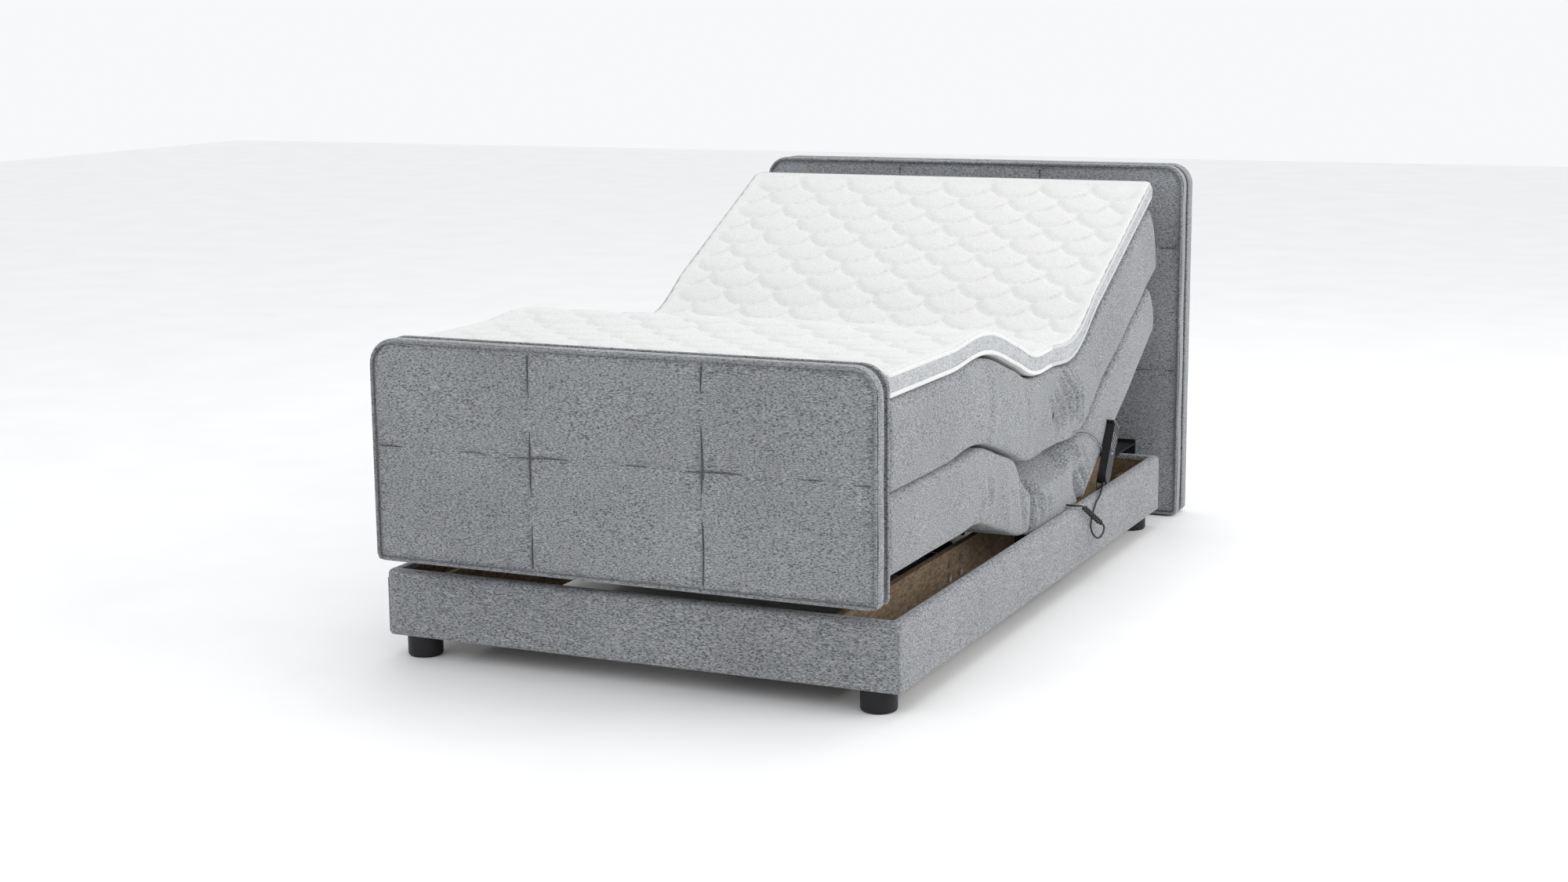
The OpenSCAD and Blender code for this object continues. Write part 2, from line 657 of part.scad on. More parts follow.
module cord_coil() color("#0f0f10") {
  d = coil_to - coil_from;
  translate(coil_from) rotate([0, acos(d[2] / norm(d)), atan2(d[1], d[0])])
    cylinder(r = coil_d / 2, h = norm(d));
}

centred() plinth_cover();
centred() side_boards();
centred() end_boards();
centred() corner_blocks();
centred() bearer_boards();
centred() bearer_bolts();
centred() feet();
centred() cross_members();
centred() bearing_rails();
centred() seat_frame();
centred() hinge_pins();
centred() base_seat();
centred() mattress_seat();
centred() topper_seat();
centred() motor_case_lower();
centred() motor_case_upper();
centred() gear_motors();
centred() control_box();
centred() cord_gland();
centred() headboard_core();
centred() headboard_front_pad();
centred() headboard_back_pad();
centred() headboard_brackets();
centred() headboard_screws();
centred() handset_hanger();
centred() handset_case();
centred() handset_plate();
centred() handset_light();
centred() cord_strain_relief();
centred() cord_upper();
centred() cord_coil();
centred() cord_lower();
centred() back_frame();
centred() base_back();
centred() mattress_back();
centred() topper_back();
centred() thigh_frame();
centred() knee_pins();
centred() base_thigh();
centred() mattress_thigh();
centred() topper_thigh();
centred() calf_frame();
centred() base_calf();
centred() footboard_core();
centred() footboard_front_pad();
centred() footboard_back_pad();
centred() footboard_brackets();
centred() footboard_screws();
centred() mattress_calf();
centred() topper_calf();
centred() back_shaft();
centred() back_rollers();
centred() leg_shaft();
centred() leg_rollers();
centred() key_back_up();
centred() key_leg_up();
centred() key_both_up();
centred() key_back_down();
centred() key_leg_down();
centred() key_both_down();
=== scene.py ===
import json
import math
import bmesh
import bpy
import numpy as np
from mathutils import Matrix, Vector


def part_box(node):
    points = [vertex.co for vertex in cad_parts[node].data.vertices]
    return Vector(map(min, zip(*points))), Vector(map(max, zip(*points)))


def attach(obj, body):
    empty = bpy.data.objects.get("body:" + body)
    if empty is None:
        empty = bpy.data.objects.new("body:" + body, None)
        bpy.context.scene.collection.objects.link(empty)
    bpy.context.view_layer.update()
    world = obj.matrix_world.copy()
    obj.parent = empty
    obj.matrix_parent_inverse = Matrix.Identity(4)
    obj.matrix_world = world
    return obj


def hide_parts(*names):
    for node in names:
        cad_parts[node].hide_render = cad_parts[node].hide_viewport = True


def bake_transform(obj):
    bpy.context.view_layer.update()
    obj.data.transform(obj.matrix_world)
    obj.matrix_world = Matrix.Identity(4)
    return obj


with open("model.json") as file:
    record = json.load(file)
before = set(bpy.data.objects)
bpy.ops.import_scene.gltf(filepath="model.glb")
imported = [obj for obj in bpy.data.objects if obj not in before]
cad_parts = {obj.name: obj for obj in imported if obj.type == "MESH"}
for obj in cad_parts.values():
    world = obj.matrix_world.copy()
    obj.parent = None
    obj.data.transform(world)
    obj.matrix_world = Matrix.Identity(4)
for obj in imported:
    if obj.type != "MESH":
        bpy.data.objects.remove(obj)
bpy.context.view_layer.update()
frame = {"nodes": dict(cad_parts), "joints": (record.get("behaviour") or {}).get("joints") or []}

for stray in ("Cube", "Light", "Camera"):
    if stray in bpy.data.objects:
        bpy.data.objects.remove(bpy.data.objects[stray])
scene = bpy.context.scene
hinges = {j["name"]: j for j in frame["joints"]}


# camera
cameraSet = {"place": (2.3463, -5.4165, 1.4571), "yaw": 0.4274, "pitch": 0.1843, "roll": -0.0083,
             "lens": 54.08}


def makeCamera(s):
    data = bpy.data.cameras.new("shopCamera")
    data.lens = s["lens"]
    data.sensor_width = 36
    data.clip_end = 60
    camera = bpy.data.objects.new("shopCamera", data)
    scene.collection.objects.link(camera)
    sy, cy, sp, cp = math.sin(s["yaw"]), math.cos(s["yaw"]), math.sin(s["pitch"]), math.cos(s["pitch"])
    ahead = Vector((-sy * cp, cy * cp, -sp))
    side = Vector((cy, sy, 0))
    up = side.cross(ahead)
    r = math.cos(s["roll"]) * side + math.sin(s["roll"]) * up
    u = -math.sin(s["roll"]) * side + math.cos(s["roll"]) * up
    m = Matrix((r, u, -ahead)).transposed().to_4x4()
    m.translation = Vector(s["place"])
    camera.matrix_world = m
    scene.camera = camera


makeCamera(cameraSet)
print("camera set")


# materials
def newMaterial(name, roughness=0.6, metallic=0.0):
    material = bpy.data.materials.new(name)
    material.use_nodes = True
    shader = material.node_tree.nodes["Principled BSDF"]
    shader.inputs["Roughness"].default_value = roughness
    shader.inputs["Metallic"].default_value = metallic
    return material, material.node_tree.nodes, material.node_tree.links, shader


def objectPattern(nodes, links, scale=(1, 1, 1), turn=(0, 0, 0)):
    place = nodes.new("ShaderNodeTexCoord")
    mapping = nodes.new("ShaderNodeMapping")
    mapping.inputs["Scale"].default_value = scale
    mapping.inputs["Rotation"].default_value = turn
    links.new(place.outputs["Object"], mapping.inputs["Vector"])
    return mapping.outputs["Vector"]


def noiseNode(nodes, links, vector, scale, detail=2.0, roughness=0.5, kind="ShaderNodeTexNoise"):
    node = nodes.new(kind)
    node.inputs["Scale"].default_value = scale
    if kind == "ShaderNodeTexNoise":
        node.inputs["Detail"].default_value = detail
        node.inputs["Roughness"].default_value = roughness
    links.new(vector, node.inputs["Vector"])
    return node


def colourRamp(nodes, links, fac, stops):
    ramp = nodes.new("ShaderNodeValToRGB")
    elements = ramp.color_ramp.elements
    while len(elements) < len(stops):
        elements.new(0.5)
    for element, (place, colour) in zip(elements, stops):
        element.position = place
        element.color = (*colour, 1)
    links.new(fac, ramp.inputs["Fac"])
    return ramp.outputs["Color"]


def mathNode(nodes, links, kind, a, b):
    node = nodes.new("ShaderNodeMath")
    node.operation = kind
    for socket, value in zip(node.inputs, (a, b)):
        if isinstance(value, (int, float)):
            socket.default_value = value
        else:
            links.new(value, socket)
    return node.outputs["Value"]


def mixColours(nodes, links, kind, fac, a, b):
    node = nodes.new("ShaderNodeMix")
    node.data_type = "RGBA"
    node.blend_type = kind
    for socket, value in ((node.inputs[0], fac), (node.inputs[6], a), (node.inputs[7], b)):
        if isinstance(value, (int, float)):
            socket.default_value = value
        elif isinstance(value, tuple):
            socket.default_value = (*value, 1)
        else:
            links.new(value, socket)
    return node.outputs[2]


def bumpFrom(nodes, links, shader, height, strength, distance):
    bump = nodes.new("ShaderNodeBump")
    bump.inputs["Strength"].default_value = strength
    bump.inputs["Distance"].default_value = distance
    links.new(height, bump.inputs["Height"])
    links.new(bump.outputs["Normal"], shader.inputs["Normal"])


def chenille(name, s):
    material, nodes, links, shader = newMaterial(name, s["roughness"])
    shader.inputs["Sheen Weight"].default_value = s["sheen"]
    shader.inputs["Sheen Roughness"].default_value = 0.5
    shader.inputs["Specular IOR Level"].default_value = 0.25
    rows = objectPattern(nodes, links, s["stretch"])
    yarn = noiseNode(nodes, links, rows, s["yarnScale"], 3.0, 0.6)
    fleckField = noiseNode(nodes, links, objectPattern(nodes, links, s["fleckStretch"]),
                           s["fleckScale"], 1.0, 0.5)
    shade = noiseNode(nodes, links, objectPattern(nodes, links), 3.2, 3.0)
    body = colourRamp(nodes, links, yarn.outputs["Fac"],
                      [(0.36, s["dark"]), (0.52, s["middle"]), (0.66, s["light"])])
    fleck = colourRamp(nodes, links, fleckField.outputs["Fac"], [(0.36, (0, 0, 0)), (0.47, (1, 1, 1))])
    cloth = mixColours(nodes, links, "MIX", fleck, s["fleck"], body)
    wear = colourRamp(nodes, links, shade.outputs["Fac"],
                      [(0.3, (0.9, 0.9, 0.9)), (0.7, (1.05, 1.05, 1.05))])
    links.new(mixColours(nodes, links, "MULTIPLY", 1.0, cloth, wear), shader.inputs["Base Color"])
    height = mathNode(nodes, links, "ADD", yarn.outputs["Fac"],
                      mathNode(nodes, links, "MULTIPLY", fleckField.outputs["Fac"], 0.8))
    bumpFrom(nodes, links, shader, height, s["bump"], 0.0016)
    return material


clothSet = {"roughness": 0.92, "sheen": 0.25, "stretch": (0.22, 0.22, 1), "yarnScale": 600.0,
            "fleckStretch": (0.42, 0.42, 1), "fleckScale": 430.0, "bump": 0.6,
            "dark": (0.155, 0.162, 0.172), "middle": (0.266, 0.274, 0.284), "light": (0.405, 0.413, 0.423),
            "fleck": (0.09, 0.096, 0.104)}
greyCloth = chenille("greyChenille", clothSet)
# A lighter copy of the grey chenille for the headboard face: painted light that makes up for the shade on it.
litBoardCloth = chenille("litBoardChenille", {**clothSet, "dark": (0.19, 0.198, 0.212),
                                        "middle": (0.29, 0.3, 0.315), "light": (0.4, 0.41, 0.425),
                                        "fleck": (0.115, 0.12, 0.13)})
# A near-black copy of the grey chenille: painted shade for the seam grooves and the recessed board cores.
grooveShadeCloth = chenille("grooveShadeChenille", {**clothSet, "dark": (0.055, 0.058, 0.063),
                                          "middle": (0.09, 0.096, 0.105), "light": (0.13, 0.137, 0.147),
                                          "fleck": (0.03, 0.032, 0.036)})
pipingCloth = chenille("pipingChenille", {**clothSet, "yarnScale": 900.0, "dark": (0.15, 0.157, 0.167),
                                          "middle": (0.235, 0.243, 0.254), "light": (0.34, 0.348, 0.36)})


def ticking():
    material, nodes, links, shader = newMaterial("whiteTicking", 0.85)
    shader.inputs["Sheen Weight"].default_value = 0.2
    shader.inputs["Specular IOR Level"].default_value = 0.3
    knit = noiseNode(nodes, links, objectPattern(nodes, links, (1, 0.4, 1)), 420.0, 2.0)
    cell = noiseNode(nodes, links, objectPattern(nodes, links), 260.0, kind="ShaderNodeTexVoronoi")
    links.new(colourRamp(nodes, links, knit.outputs["Fac"],
                         [(0.3, (0.55, 0.55, 0.54)), (0.7, (0.69, 0.69, 0.68))]),
              shader.inputs["Base Color"])
    height = mathNode(nodes, links, "ADD", knit.outputs["Fac"],
                      mathNode(nodes, links, "MULTIPLY", cell.outputs["Distance"], 0.7))
    bumpFrom(nodes, links, shader, height, 0.35, 0.0012)
    return material


def spacerMesh():
    material, nodes, links, shader = newMaterial("spacerMesh", 0.8)
    shader.inputs["Sheen Weight"].default_value = 0.15
    holes = noiseNode(nodes, links, objectPattern(nodes, links, (1, 1, 1.2)), 230.0,
                      kind="ShaderNodeTexVoronoi")
    fade = noiseNode(nodes, links, objectPattern(nodes, links, (0.3, 0.3, 1)), 60.0, 2.0)
    mesh = colourRamp(nodes, links, holes.outputs["Distance"],
                      [(0.12, (0.1, 0.105, 0.112)), (0.3, (0.33, 0.34, 0.35)), (0.6, (0.47, 0.48, 0.49))])
    tone = colourRamp(nodes, links, fade.outputs["Fac"], [(0.3, (0.85, 0.85, 0.86)), (0.7, (1, 1, 1))])
    links.new(mixColours(nodes, links, "MULTIPLY", 1.0, mesh, tone), shader.inputs["Base Color"])
    bumpFrom(nodes, links, shader, holes.outputs["Distance"], 0.5, 0.0012)
    return material


def tapeCloth(name, dark, light):
    material, nodes, links, shader = newMaterial(name, 0.7)
    shader.inputs["Sheen Weight"].default_value = 0.2
    thread = noiseNode(nodes, links, objectPattern(nodes, links, (1, 1, 0.2)), 900.0, 2.0)
    links.new(colourRamp(nodes, links, thread.outputs["Fac"], [(0.3, dark), (0.7, light)]),
              shader.inputs["Base Color"])
    bumpFrom(nodes, links, shader, thread.outputs["Fac"], 0.4, 0.0006)
    return material


def chipboard():
    material, nodes, links, shader = newMaterial("chipboard", 0.75)
    chips = noiseNode(nodes, links, objectPattern(nodes, links, (1, 0.35, 1)), 210.0,
                      kind="ShaderNodeTexVoronoi")
    dust = noiseNode(nodes, links, objectPattern(nodes, links), 480.0, 3.0)
    tone = colourRamp(nodes, links, chips.outputs["Color"],
                      [(0.1, (0.13, 0.086, 0.05)), (0.5, (0.21, 0.147, 0.09)), (0.9, (0.29, 0.21, 0.135))])
    grain = colourRamp(nodes, links, dust.outputs["Fac"], [(0.3, (0.72, 0.7, 0.68)), (0.7, (1, 1, 1))])
    links.new(mixColours(nodes, links, "MULTIPLY", 1.0, tone, grain), shader.inputs["Base Color"])
    bumpFrom(nodes, links, shader, dust.outputs["Fac"], 0.35, 0.0008)
    return material


def coatedMetal(name, dark, light, roughness, metallic, scale, bump=0.15):
    material, nodes, links, shader = newMaterial(name, roughness, metallic)
    speck = noiseNode(nodes, links, objectPattern(nodes, links), scale, 3.0)
    broad = noiseNode(nodes, links, objectPattern(nodes, links), 9.0, 2.0)
    tone = colourRamp(nodes, links, speck.outputs["Fac"], [(0.3, dark), (0.72, light)])
    wear = colourRamp(nodes, links, broad.outputs["Fac"], [(0.3, (0.86, 0.86, 0.86)), (0.7, (1, 1, 1))])
    links.new(mixColours(nodes, links, "MULTIPLY", 1.0, tone, wear), shader.inputs["Base Color"])
    rough = nodes.new("ShaderNodeMapRange")
    rough.inputs["To Min"].default_value = roughness - 0.07
    rough.inputs["To Max"].default_value = roughness + 0.1
    links.new(broad.outputs["Fac"], rough.inputs["Value"])
    links.new(rough.outputs["Result"], shader.inputs["Roughness"])
    bumpFrom(nodes, links, shader, speck.outputs["Fac"], bump, 0.0005)
    return material


topCloth = ticking()
greyTape = tapeCloth("greyTape", (0.36, 0.365, 0.37), (0.6, 0.605, 0.61))
borderMesh = spacerMesh()
whiteTape = tapeCloth("whiteTape", (0.5, 0.5, 0.5), (0.78, 0.78, 0.775))
greyThread = tapeCloth("greyThread", (0.2, 0.205, 0.215), (0.36, 0.37, 0.385))
chip = chipboard()
blackSteel = coatedMetal("blackSteel", (0.012, 0.012, 0.013), (0.035, 0.035, 0.037), 0.42, 0.6, 700.0)
bareSteel = coatedMetal("bareSteel", (0.42, 0.42, 0.43), (0.62, 0.62, 0.63), 0.32, 1.0, 420.0, 0.08)
blackPlastic = coatedMetal("blackPlastic", (0.011, 0.011, 0.012), (0.024, 0.024, 0.026),
                           0.45, 0.0, 900.0, 0.2)
greyPlastic = coatedMetal("greyPlastic", (0.05, 0.053, 0.058), (0.085, 0.088, 0.094), 0.4, 0.0, 800.0, 0.12)
blackPlastic.node_tree.nodes["Principled BSDF"].inputs["Specular IOR Level"].default_value = 0.2
keyRubber = coatedMetal("keyRubber", (0.009, 0.009, 0.01), (0.02, 0.02, 0.022), 0.62, 0.0, 900.0, 0.25)
silverTrim = coatedMetal("silverTrim", (0.5, 0.51, 0.53), (0.68, 0.69, 0.7), 0.28, 1.0, 600.0, 0.05)
cordRubber = coatedMetal("cordRubber", (0.01, 0.01, 0.011), (0.022, 0.022, 0.024), 0.5, 0.0, 1100.0, 0.15)


def lampLens():
    material, nodes, links, shader = newMaterial("blueLens", 0.2)
    glow = noiseNode(nodes, links, objectPattern(nodes, links), 500.0, 1.0)
    tone = colourRamp(nodes, links, glow.outputs["Fac"],
                      [(0.3, (0.02, 0.09, 0.9)), (0.7, (0.08, 0.22, 1.0))])
    links.new(tone, shader.inputs["Base Color"])
    links.new(tone, shader.inputs["Emission Color"])
    shader.inputs["Emission Strength"].default_value = 3.0
    return material


blueLens = lampLens()
print("materials made")


# small mesh tools
def makeObject(name, verts, faces, materials, sharp=None, faceMaterial=None):
    mesh = bpy.data.meshes.new(name)
    mesh.from_pydata([tuple(map(float, v)) for v in verts], [], [tuple(map(int, f)) for f in faces])
    mesh.update()
    mesh.shade_smooth()
    for material in materials:
        mesh.materials.append(material)
    if faceMaterial is not None:
        mesh.polygons.foreach_set("material_index", np.array(faceMaterial, dtype=np.int32))
    if sharp:
        mesh.set_sharp_from_angle(angle=math.radians(sharp))
    obj = bpy.data.objects.new(name, mesh)
    scene.collection.objects.link(obj)
    return obj


def smoothStep(t):
    t = np.clip(t, 0, 1)
    return t * t * (3 - 2 * t)


def hump(x, width):
    return np.exp(-(x / width) ** 2)


def softNoise(p, scale, seed):
    # Smooth value noise made of a few fixed sine waves, the same on every run.
    rng = np.random.default_rng(seed)
    total = np.zeros(len(p))
    for octave in range(5):
        d = rng.normal(size=3)
        d /= np.linalg.norm(d)
        total += np.sin(p @ d * scale * (1 + 0.37 * octave) + rng.uniform(0, 6.28)) / (1 + 0.5 * octave)
    return total / 2.4


def lineDistance(y, z, line):
    # Distance in the side plane to a run of points, and how far along it, from 0 to 1.
    pts = np.array(line)
    best = np.full(len(y), 9.0)
    along = np.zeros(len(y))
    count = len(pts) - 1
    for i in range(count):
        a, b = pts[i], pts[i + 1]
        d = b - a
        t = np.clip(((y - a[0]) * d[0] + (z - a[1]) * d[1]) / (d @ d), 0, 1)
        gap = np.hypot(y - a[0] - t * d[0], z - a[1] - t * d[1])
        near = gap < best
        best = np.where(near, gap, best)
        along = np.where(near, (i + t) / count, along)
    return best, along


def fineCurve(points, step):
    # The same route with evenly spaced points, rounded by a Catmull-Rom pass.
    p = np.array(points, float)
    ends = np.vstack([2 * p[0] - p[1], p, 2 * p[-1] - p[-2]])
    out = []
    for i in range(len(p) - 1):
        a, b, c, d = ends[i:i + 4]
        for t in np.linspace(0, 1, 12, endpoint=False):
            out.append(0.5 * ((2 * b) + (c - a) * t + (2 * a - 5 * b + 4 * c - d) * t ** 2
                              + (3 * b - a - 3 * c + d) * t ** 3))
    out.append(p[-1])
    out = np.array(out)
    length = np.concatenate([[0], np.cumsum(np.linalg.norm(np.diff(out, axis=0), axis=1))])
    count = max(3, int(round(length[-1] / step)) + 1)
    at = np.linspace(0, length[-1], count)
    return np.column_stack([np.interp(at, length, out[:, k]) for k in range(3)])


def tubeAlong(name, path, radius, material, sides=10, closed=False, flat=1.0):
    # A round welt along a path; flat squeezes it along the path's upright.
    p = np.array(path, float)
    n = len(p)
    ahead = np.roll(p, -1, 0) - np.roll(p, 1, 0)
    if not closed:
        ahead[0], ahead[-1] = p[1] - p[0], p[-1] - p[-2]
    ahead /= np.linalg.norm(ahead, axis=1)[:, None]
    up = np.where(np.abs(ahead[:, 1:2]) < 0.8, [[0, 1, 0]], [[0, 0, 1]])
    a = np.cross(ahead, up)
    a /= np.linalg.norm(a, axis=1)[:, None]
    for i in range(1, n):
        if a[i] @ a[i - 1] < 0:
            a[i] = -a[i]
    b = np.cross(ahead, a)
    angles = np.arange(sides) * 2 * math.pi / sides
    verts = (p[:, None] + radius * (np.cos(angles)[None, :, None] * a[:, None]
                                    + flat * np.sin(angles)[None, :, None] * b[:, None])).reshape(-1, 3)
    faces = []
    for i in range(n if closed else n - 1):
        j = (i + 1) % n
        for k in range(sides):
            m = (k + 1) % sides
            faces.append((i * sides + k, i * sides + m, j * sides + m, j * sides + k))
    if not closed:
        faces.append(tuple(range(sides))[::-1])
        faces.append(tuple((n - 1) * sides + k for k in range(sides)))
    return recalc(makeObject(name, verts, faces, [material]))


def recalc(obj):
    bm = bmesh.new()
    bm.from_mesh(obj.data)
    bmesh.ops.recalc_face_normals(bm, faces=bm.faces)
    bm.to_mesh(obj.data)
    bm.free()
    return obj


# repeats by Geometry Nodes
def repeatTree(name):
    # Beads set along a line at an even spacing, for stitches and the ribs of tape.
    tree = bpy.data.node_groups.new(name, "GeometryNodeTree")
    tree.is_modifier = True
    face = tree.interface
    face.new_socket("Line", in_out="INPUT", socket_type="NodeSocketGeometry")
    for label, value in (("Spacing", 0.006), ("Bead width", 0.0008), ("Bead length", 0.002),
                         ("Bead height", 0.0008)):
        socket = face.new_socket(label, in_out="INPUT", socket_type="NodeSocketFloat")
        socket.default_value = value
    face.new_socket("Along the line", in_out="INPUT", socket_type="NodeSocketBool")
    face.new_socket("Finish", in_out="INPUT", socket_type="NodeSocketMaterial")
    face.new_socket("Beads", in_out="OUTPUT", socket_type="NodeSocketGeometry")
    new, link = tree.nodes.new, tree.links.new
    given, made = new("NodeGroupInput"), new("NodeGroupOutput")
    curve = new("GeometryNodeMeshToCurve")
    points = new("GeometryNodeCurveToPoints")
    points.mode = "LENGTH"
    bead = new("GeometryNodeMeshIcoSphere")
    bead.inputs["Radius"].default_value = 1.0
    bead.inputs["Subdivisions"].default_value = 1
    size = new("ShaderNodeCombineXYZ")
    shape = new("GeometryNodeTransform")
    turn = new("FunctionNodeAlignRotationToVector")
    turn.axis = "Z"
    pick = new("GeometryNodeSwitch")
    pick.input_type = "ROTATION"
    place = new("GeometryNodeInstanceOnPoints")
    real = new("GeometryNodeRealizeInstances")
    smooth = new("GeometryNodeSetShadeSmooth")
    finish = new("GeometryNodeSetMaterial")
    link(given.outputs["Line"], curve.inputs["Mesh"])
    link(curve.outputs["Curve"], points.inputs["Curve"])
    link(given.outputs["Spacing"], points.inputs["Length"])
    link(given.outputs["Bead width"], size.inputs["X"])
    link(given.outputs["Bead height"], size.inputs["Y"])
    link(given.outputs["Bead length"], size.inputs["Z"])
    link(bead.outputs["Mesh"], shape.inputs["Geometry"])
    link(size.outputs["Vector"], shape.inputs["Scale"])
    link(points.outputs["Points"], place.inputs["Points"])
    link(shape.outputs["Geometry"], place.inputs["Instance"])
    link(points.outputs["Tangent"], turn.inputs["Vector"])
    link(given.outputs["Along the line"], pick.inputs["Switch"])
    link(turn.outputs["Rotation"], pick.inputs["True"])
    link(pick.outputs["Output"], place.inputs["Rotation"])
    link(place.outputs["Instances"], real.inputs["Geometry"])
    link(real.outputs["Geometry"], smooth.inputs["Geometry"])
    link(smooth.outputs["Geometry"], finish.inputs["Geometry"])
    link(given.outputs["Finish"], finish.inputs["Material"])
    link(finish.outputs["Geometry"], made.inputs["Beads"])
    return tree


beadTree = repeatTree("beadsOnLine")


def beadsAlong(name, lines, s, material, along=True):
    # Plain mesh of beads on one or more lines of points.
    verts, edges = [], []
    for line, closed in lines:
        start = len(verts)
        verts += [tuple(map(float, p)) for p in line]
        edges += [(start + i, start + i + 1) for i in range(len(line) - 1)]
        if closed:
            edges.append((start + len(line) - 1, start))
    mesh = bpy.data.meshes.new(name + "Line")
    mesh.from_pydata(verts, edges, [])
    holder = bpy.data.objects.new(name + "Line", mesh)
    scene.collection.objects.link(holder)
    modifier = holder.modifiers.new("beads", "NODES")
    modifier.node_group = beadTree
    values = {"Spacing": s["spacing"], "Bead width": s["width"], "Bead length": s["length"],
              "Bead height": s["height"], "Along the line": along, "Finish": material}
    for item in beadTree.interface.items_tree:
        if item.item_type == "SOCKET" and item.in_out == "INPUT" and item.name in values:
            modifier[item.identifier] = values[item.name]
    holder.update_tag()
    view = bpy.context.evaluated_depsgraph_get()
    view.update()
    plain = bpy.data.meshes.new_from_object(holder.evaluated_get(view), depsgraph=view)
    plain.name = name
    if not plain.materials:
        plain.materials.append(material)
    obj = bpy.data.objects.new(name, plain)
    scene.collection.objects.link(obj)
    holder.modifiers.clear()
    bpy.data.objects.remove(holder)
    return obj


# handset cord
cordSet = {"thick": 0.005, "coilAcross": 0.010, "turns": 9, "perTurn": 16}
rowShift = np.array([0, -1072, 0])
upperRoute = [
    (613, 1461, 220), (613, 1458, 215), (613, 1453, 211), (615, 1444, 209), (618, 1432, 208),
    (621, 1419, 208), (625, 1405, 208), (628, 1391, 207), (630, 1377, 204), (630, 1364, 200),
    (629, 1352, 194), (629, 1341, 187), (629, 1331, 179), (629, 1322, 170), (629, 1314, 160),
    (629, 1307, 150), (630, 1301, 140), (633, 1298, 130), (637, 1299, 120), (641, 1305, 112),
    (644, 1315, 107), (646, 1327, 106), (647, 1339, 108), (648, 1350, 113), (648, 1359, 120),
    (647, 1363, 127), (645, 1360, 133), (643, 1352, 137)]
lowerRoute = [
    (636, 1214, 208), (634, 1207, 211), (628, 1202, 212), (617, 1200, 212), (605, 1200, 212),
    (592, 1200, 212), (580, 1200, 211), (570, 1200, 208), (561, 1200, 202), (554, 1200, 194),
    (549, 1200, 184), (546, 1200, 172), (545, 1200, 160)]


def makeCord(s):
    upper = (np.array(upperRoute) + rowShift) / 1000.0
    lower = (np.array(lowerRoute) + rowShift) / 1000.0
    a, b = upper[-1], lower[0]
    axis = (b - a) / np.linalg.norm(b - a)
    side = np.cross(axis, (1, 0, 0))
    side /= np.linalg.norm(side)
    over = np.cross(axis, side)
    count = s["turns"] * s["perTurn"]
    coil = []
    for i in range(1, count):
        t = i / count
        lead = min(1, t * s["turns"] / 0.7, (1 - t) * s["turns"] / 0.7)
        r = s["coilAcross"] / 2 * lead
        turn = 2 * math.pi * s["turns"] * t
        coil.append(a + (b - a) * t + r * (math.cos(turn) * side + math.sin(turn) * over))
    route = np.vstack([upper, np.array(coil), lower])
    curve = bpy.data.curves.new("handsetCord", "CURVE")
    curve.dimensions = "3D"
    curve.bevel_depth = s["thick"] / 2
    curve.bevel_resolution = 3
    spline = curve.splines.new("POLY")
    spline.points.add(len(route) - 1)
    for point, place in zip(spline.points, route):
        point.co = (*place, 1)
    curve.materials.append(cordRubber)
    obj = bpy.data.objects.new("handsetCord", curve)
    scene.collection.objects.link(obj)
    length = float(np.sum(np.linalg.norm(np.diff(route, axis=0), axis=1)))
    return obj, route[0], length


handsetCord, cordExit, cordLength = makeCord(cordSet)
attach(handsetCord, "bed_frame")
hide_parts("cord_upper", "cord_coil", "cord_lower")
print("handset cord made,", round(cordLength, 3), "m")


# folding layers
def turned(y, z, pivot, angle):
    c, s = np.cos(angle), np.sin(angle)
    dy, dz = y - pivot[0], z - pivot[1]
    return pivot[0] + dy * c - dz * s, pivot[1] + dy * s + dz * c


class Fold:
    # One blend zone: a hinge line, the bodies on its two sides and the reach on each side.

    def __init__(self, pivot, fromDir, toDir, reachFrom, reachTo, bodies):
        self.start = (pivot[0] + fromDir[0] * reachFrom, pivot[1] + fromDir[1] * reachFrom)
        self.end = (pivot[0] + toDir[0] * reachTo, pivot[1] + toDir[1] * reachTo)
        self.bodies = bodies

    def weight(self, y, z):
        dy, dz = self.end[0] - self.start[0], self.end[1] - self.start[1]
        t = ((y - self.start[0]) * dy + (z - self.start[1]) * dz) / (dy * dy + dz * dz)
        return smoothStep(t)

    def blend(self, obj):
        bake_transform(obj)


restAngles = {"back": math.radians(26), "thigh": math.radians(-17), "knee": math.radians(17)}


def layerFolds(key, s):
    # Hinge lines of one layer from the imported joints, at rest, and the three blend zones.
    names = {"base": ("knee_hinge", "thigh_hinge", "back_hinge", "thigh", "calf", "back"),
             "mattress": ("mattress_knee_fold", "mattress_thigh_fold", "mattress_back_fold",
                          "mattress_thigh_part", "mattress_calf_part", "mattress_back_part"),
             "topper": ("topper_knee_fold", "topper_thigh_fold", "topper_back_fold",
                        "topper_thigh_part", "topper_calf_part", "topper_back_part")}[key]
    knee, thigh, back = (tuple(hinges[n]["pos_m"][1:]) for n in names[:3])
    flatKnee = tuple(float(v) for v in turned(knee[0], knee[1], thigh, -restAngles["thigh"]))
    up = (math.cos(restAngles["thigh"]), math.sin(restAngles["thigh"]))
    lean = (math.cos(restAngles["back"]), math.sin(restAngles["back"]))
    folds = {
        "knee": Fold(knee, up, (-1, 0), *s["kneeReach"], (names[3], names[4])),
        "thigh": Fold(thigh, (1, 0), (-up[0], -up[1]), *s["thighReach"], ("bed_frame", names[3])),
        "back": Fold(back, (-1, 0), lean, *s["backReach"], ("bed_frame", names[5]))}
    return {"knee": flatKnee, "thigh": thigh, "back": back, "kneeRest": knee}, folds


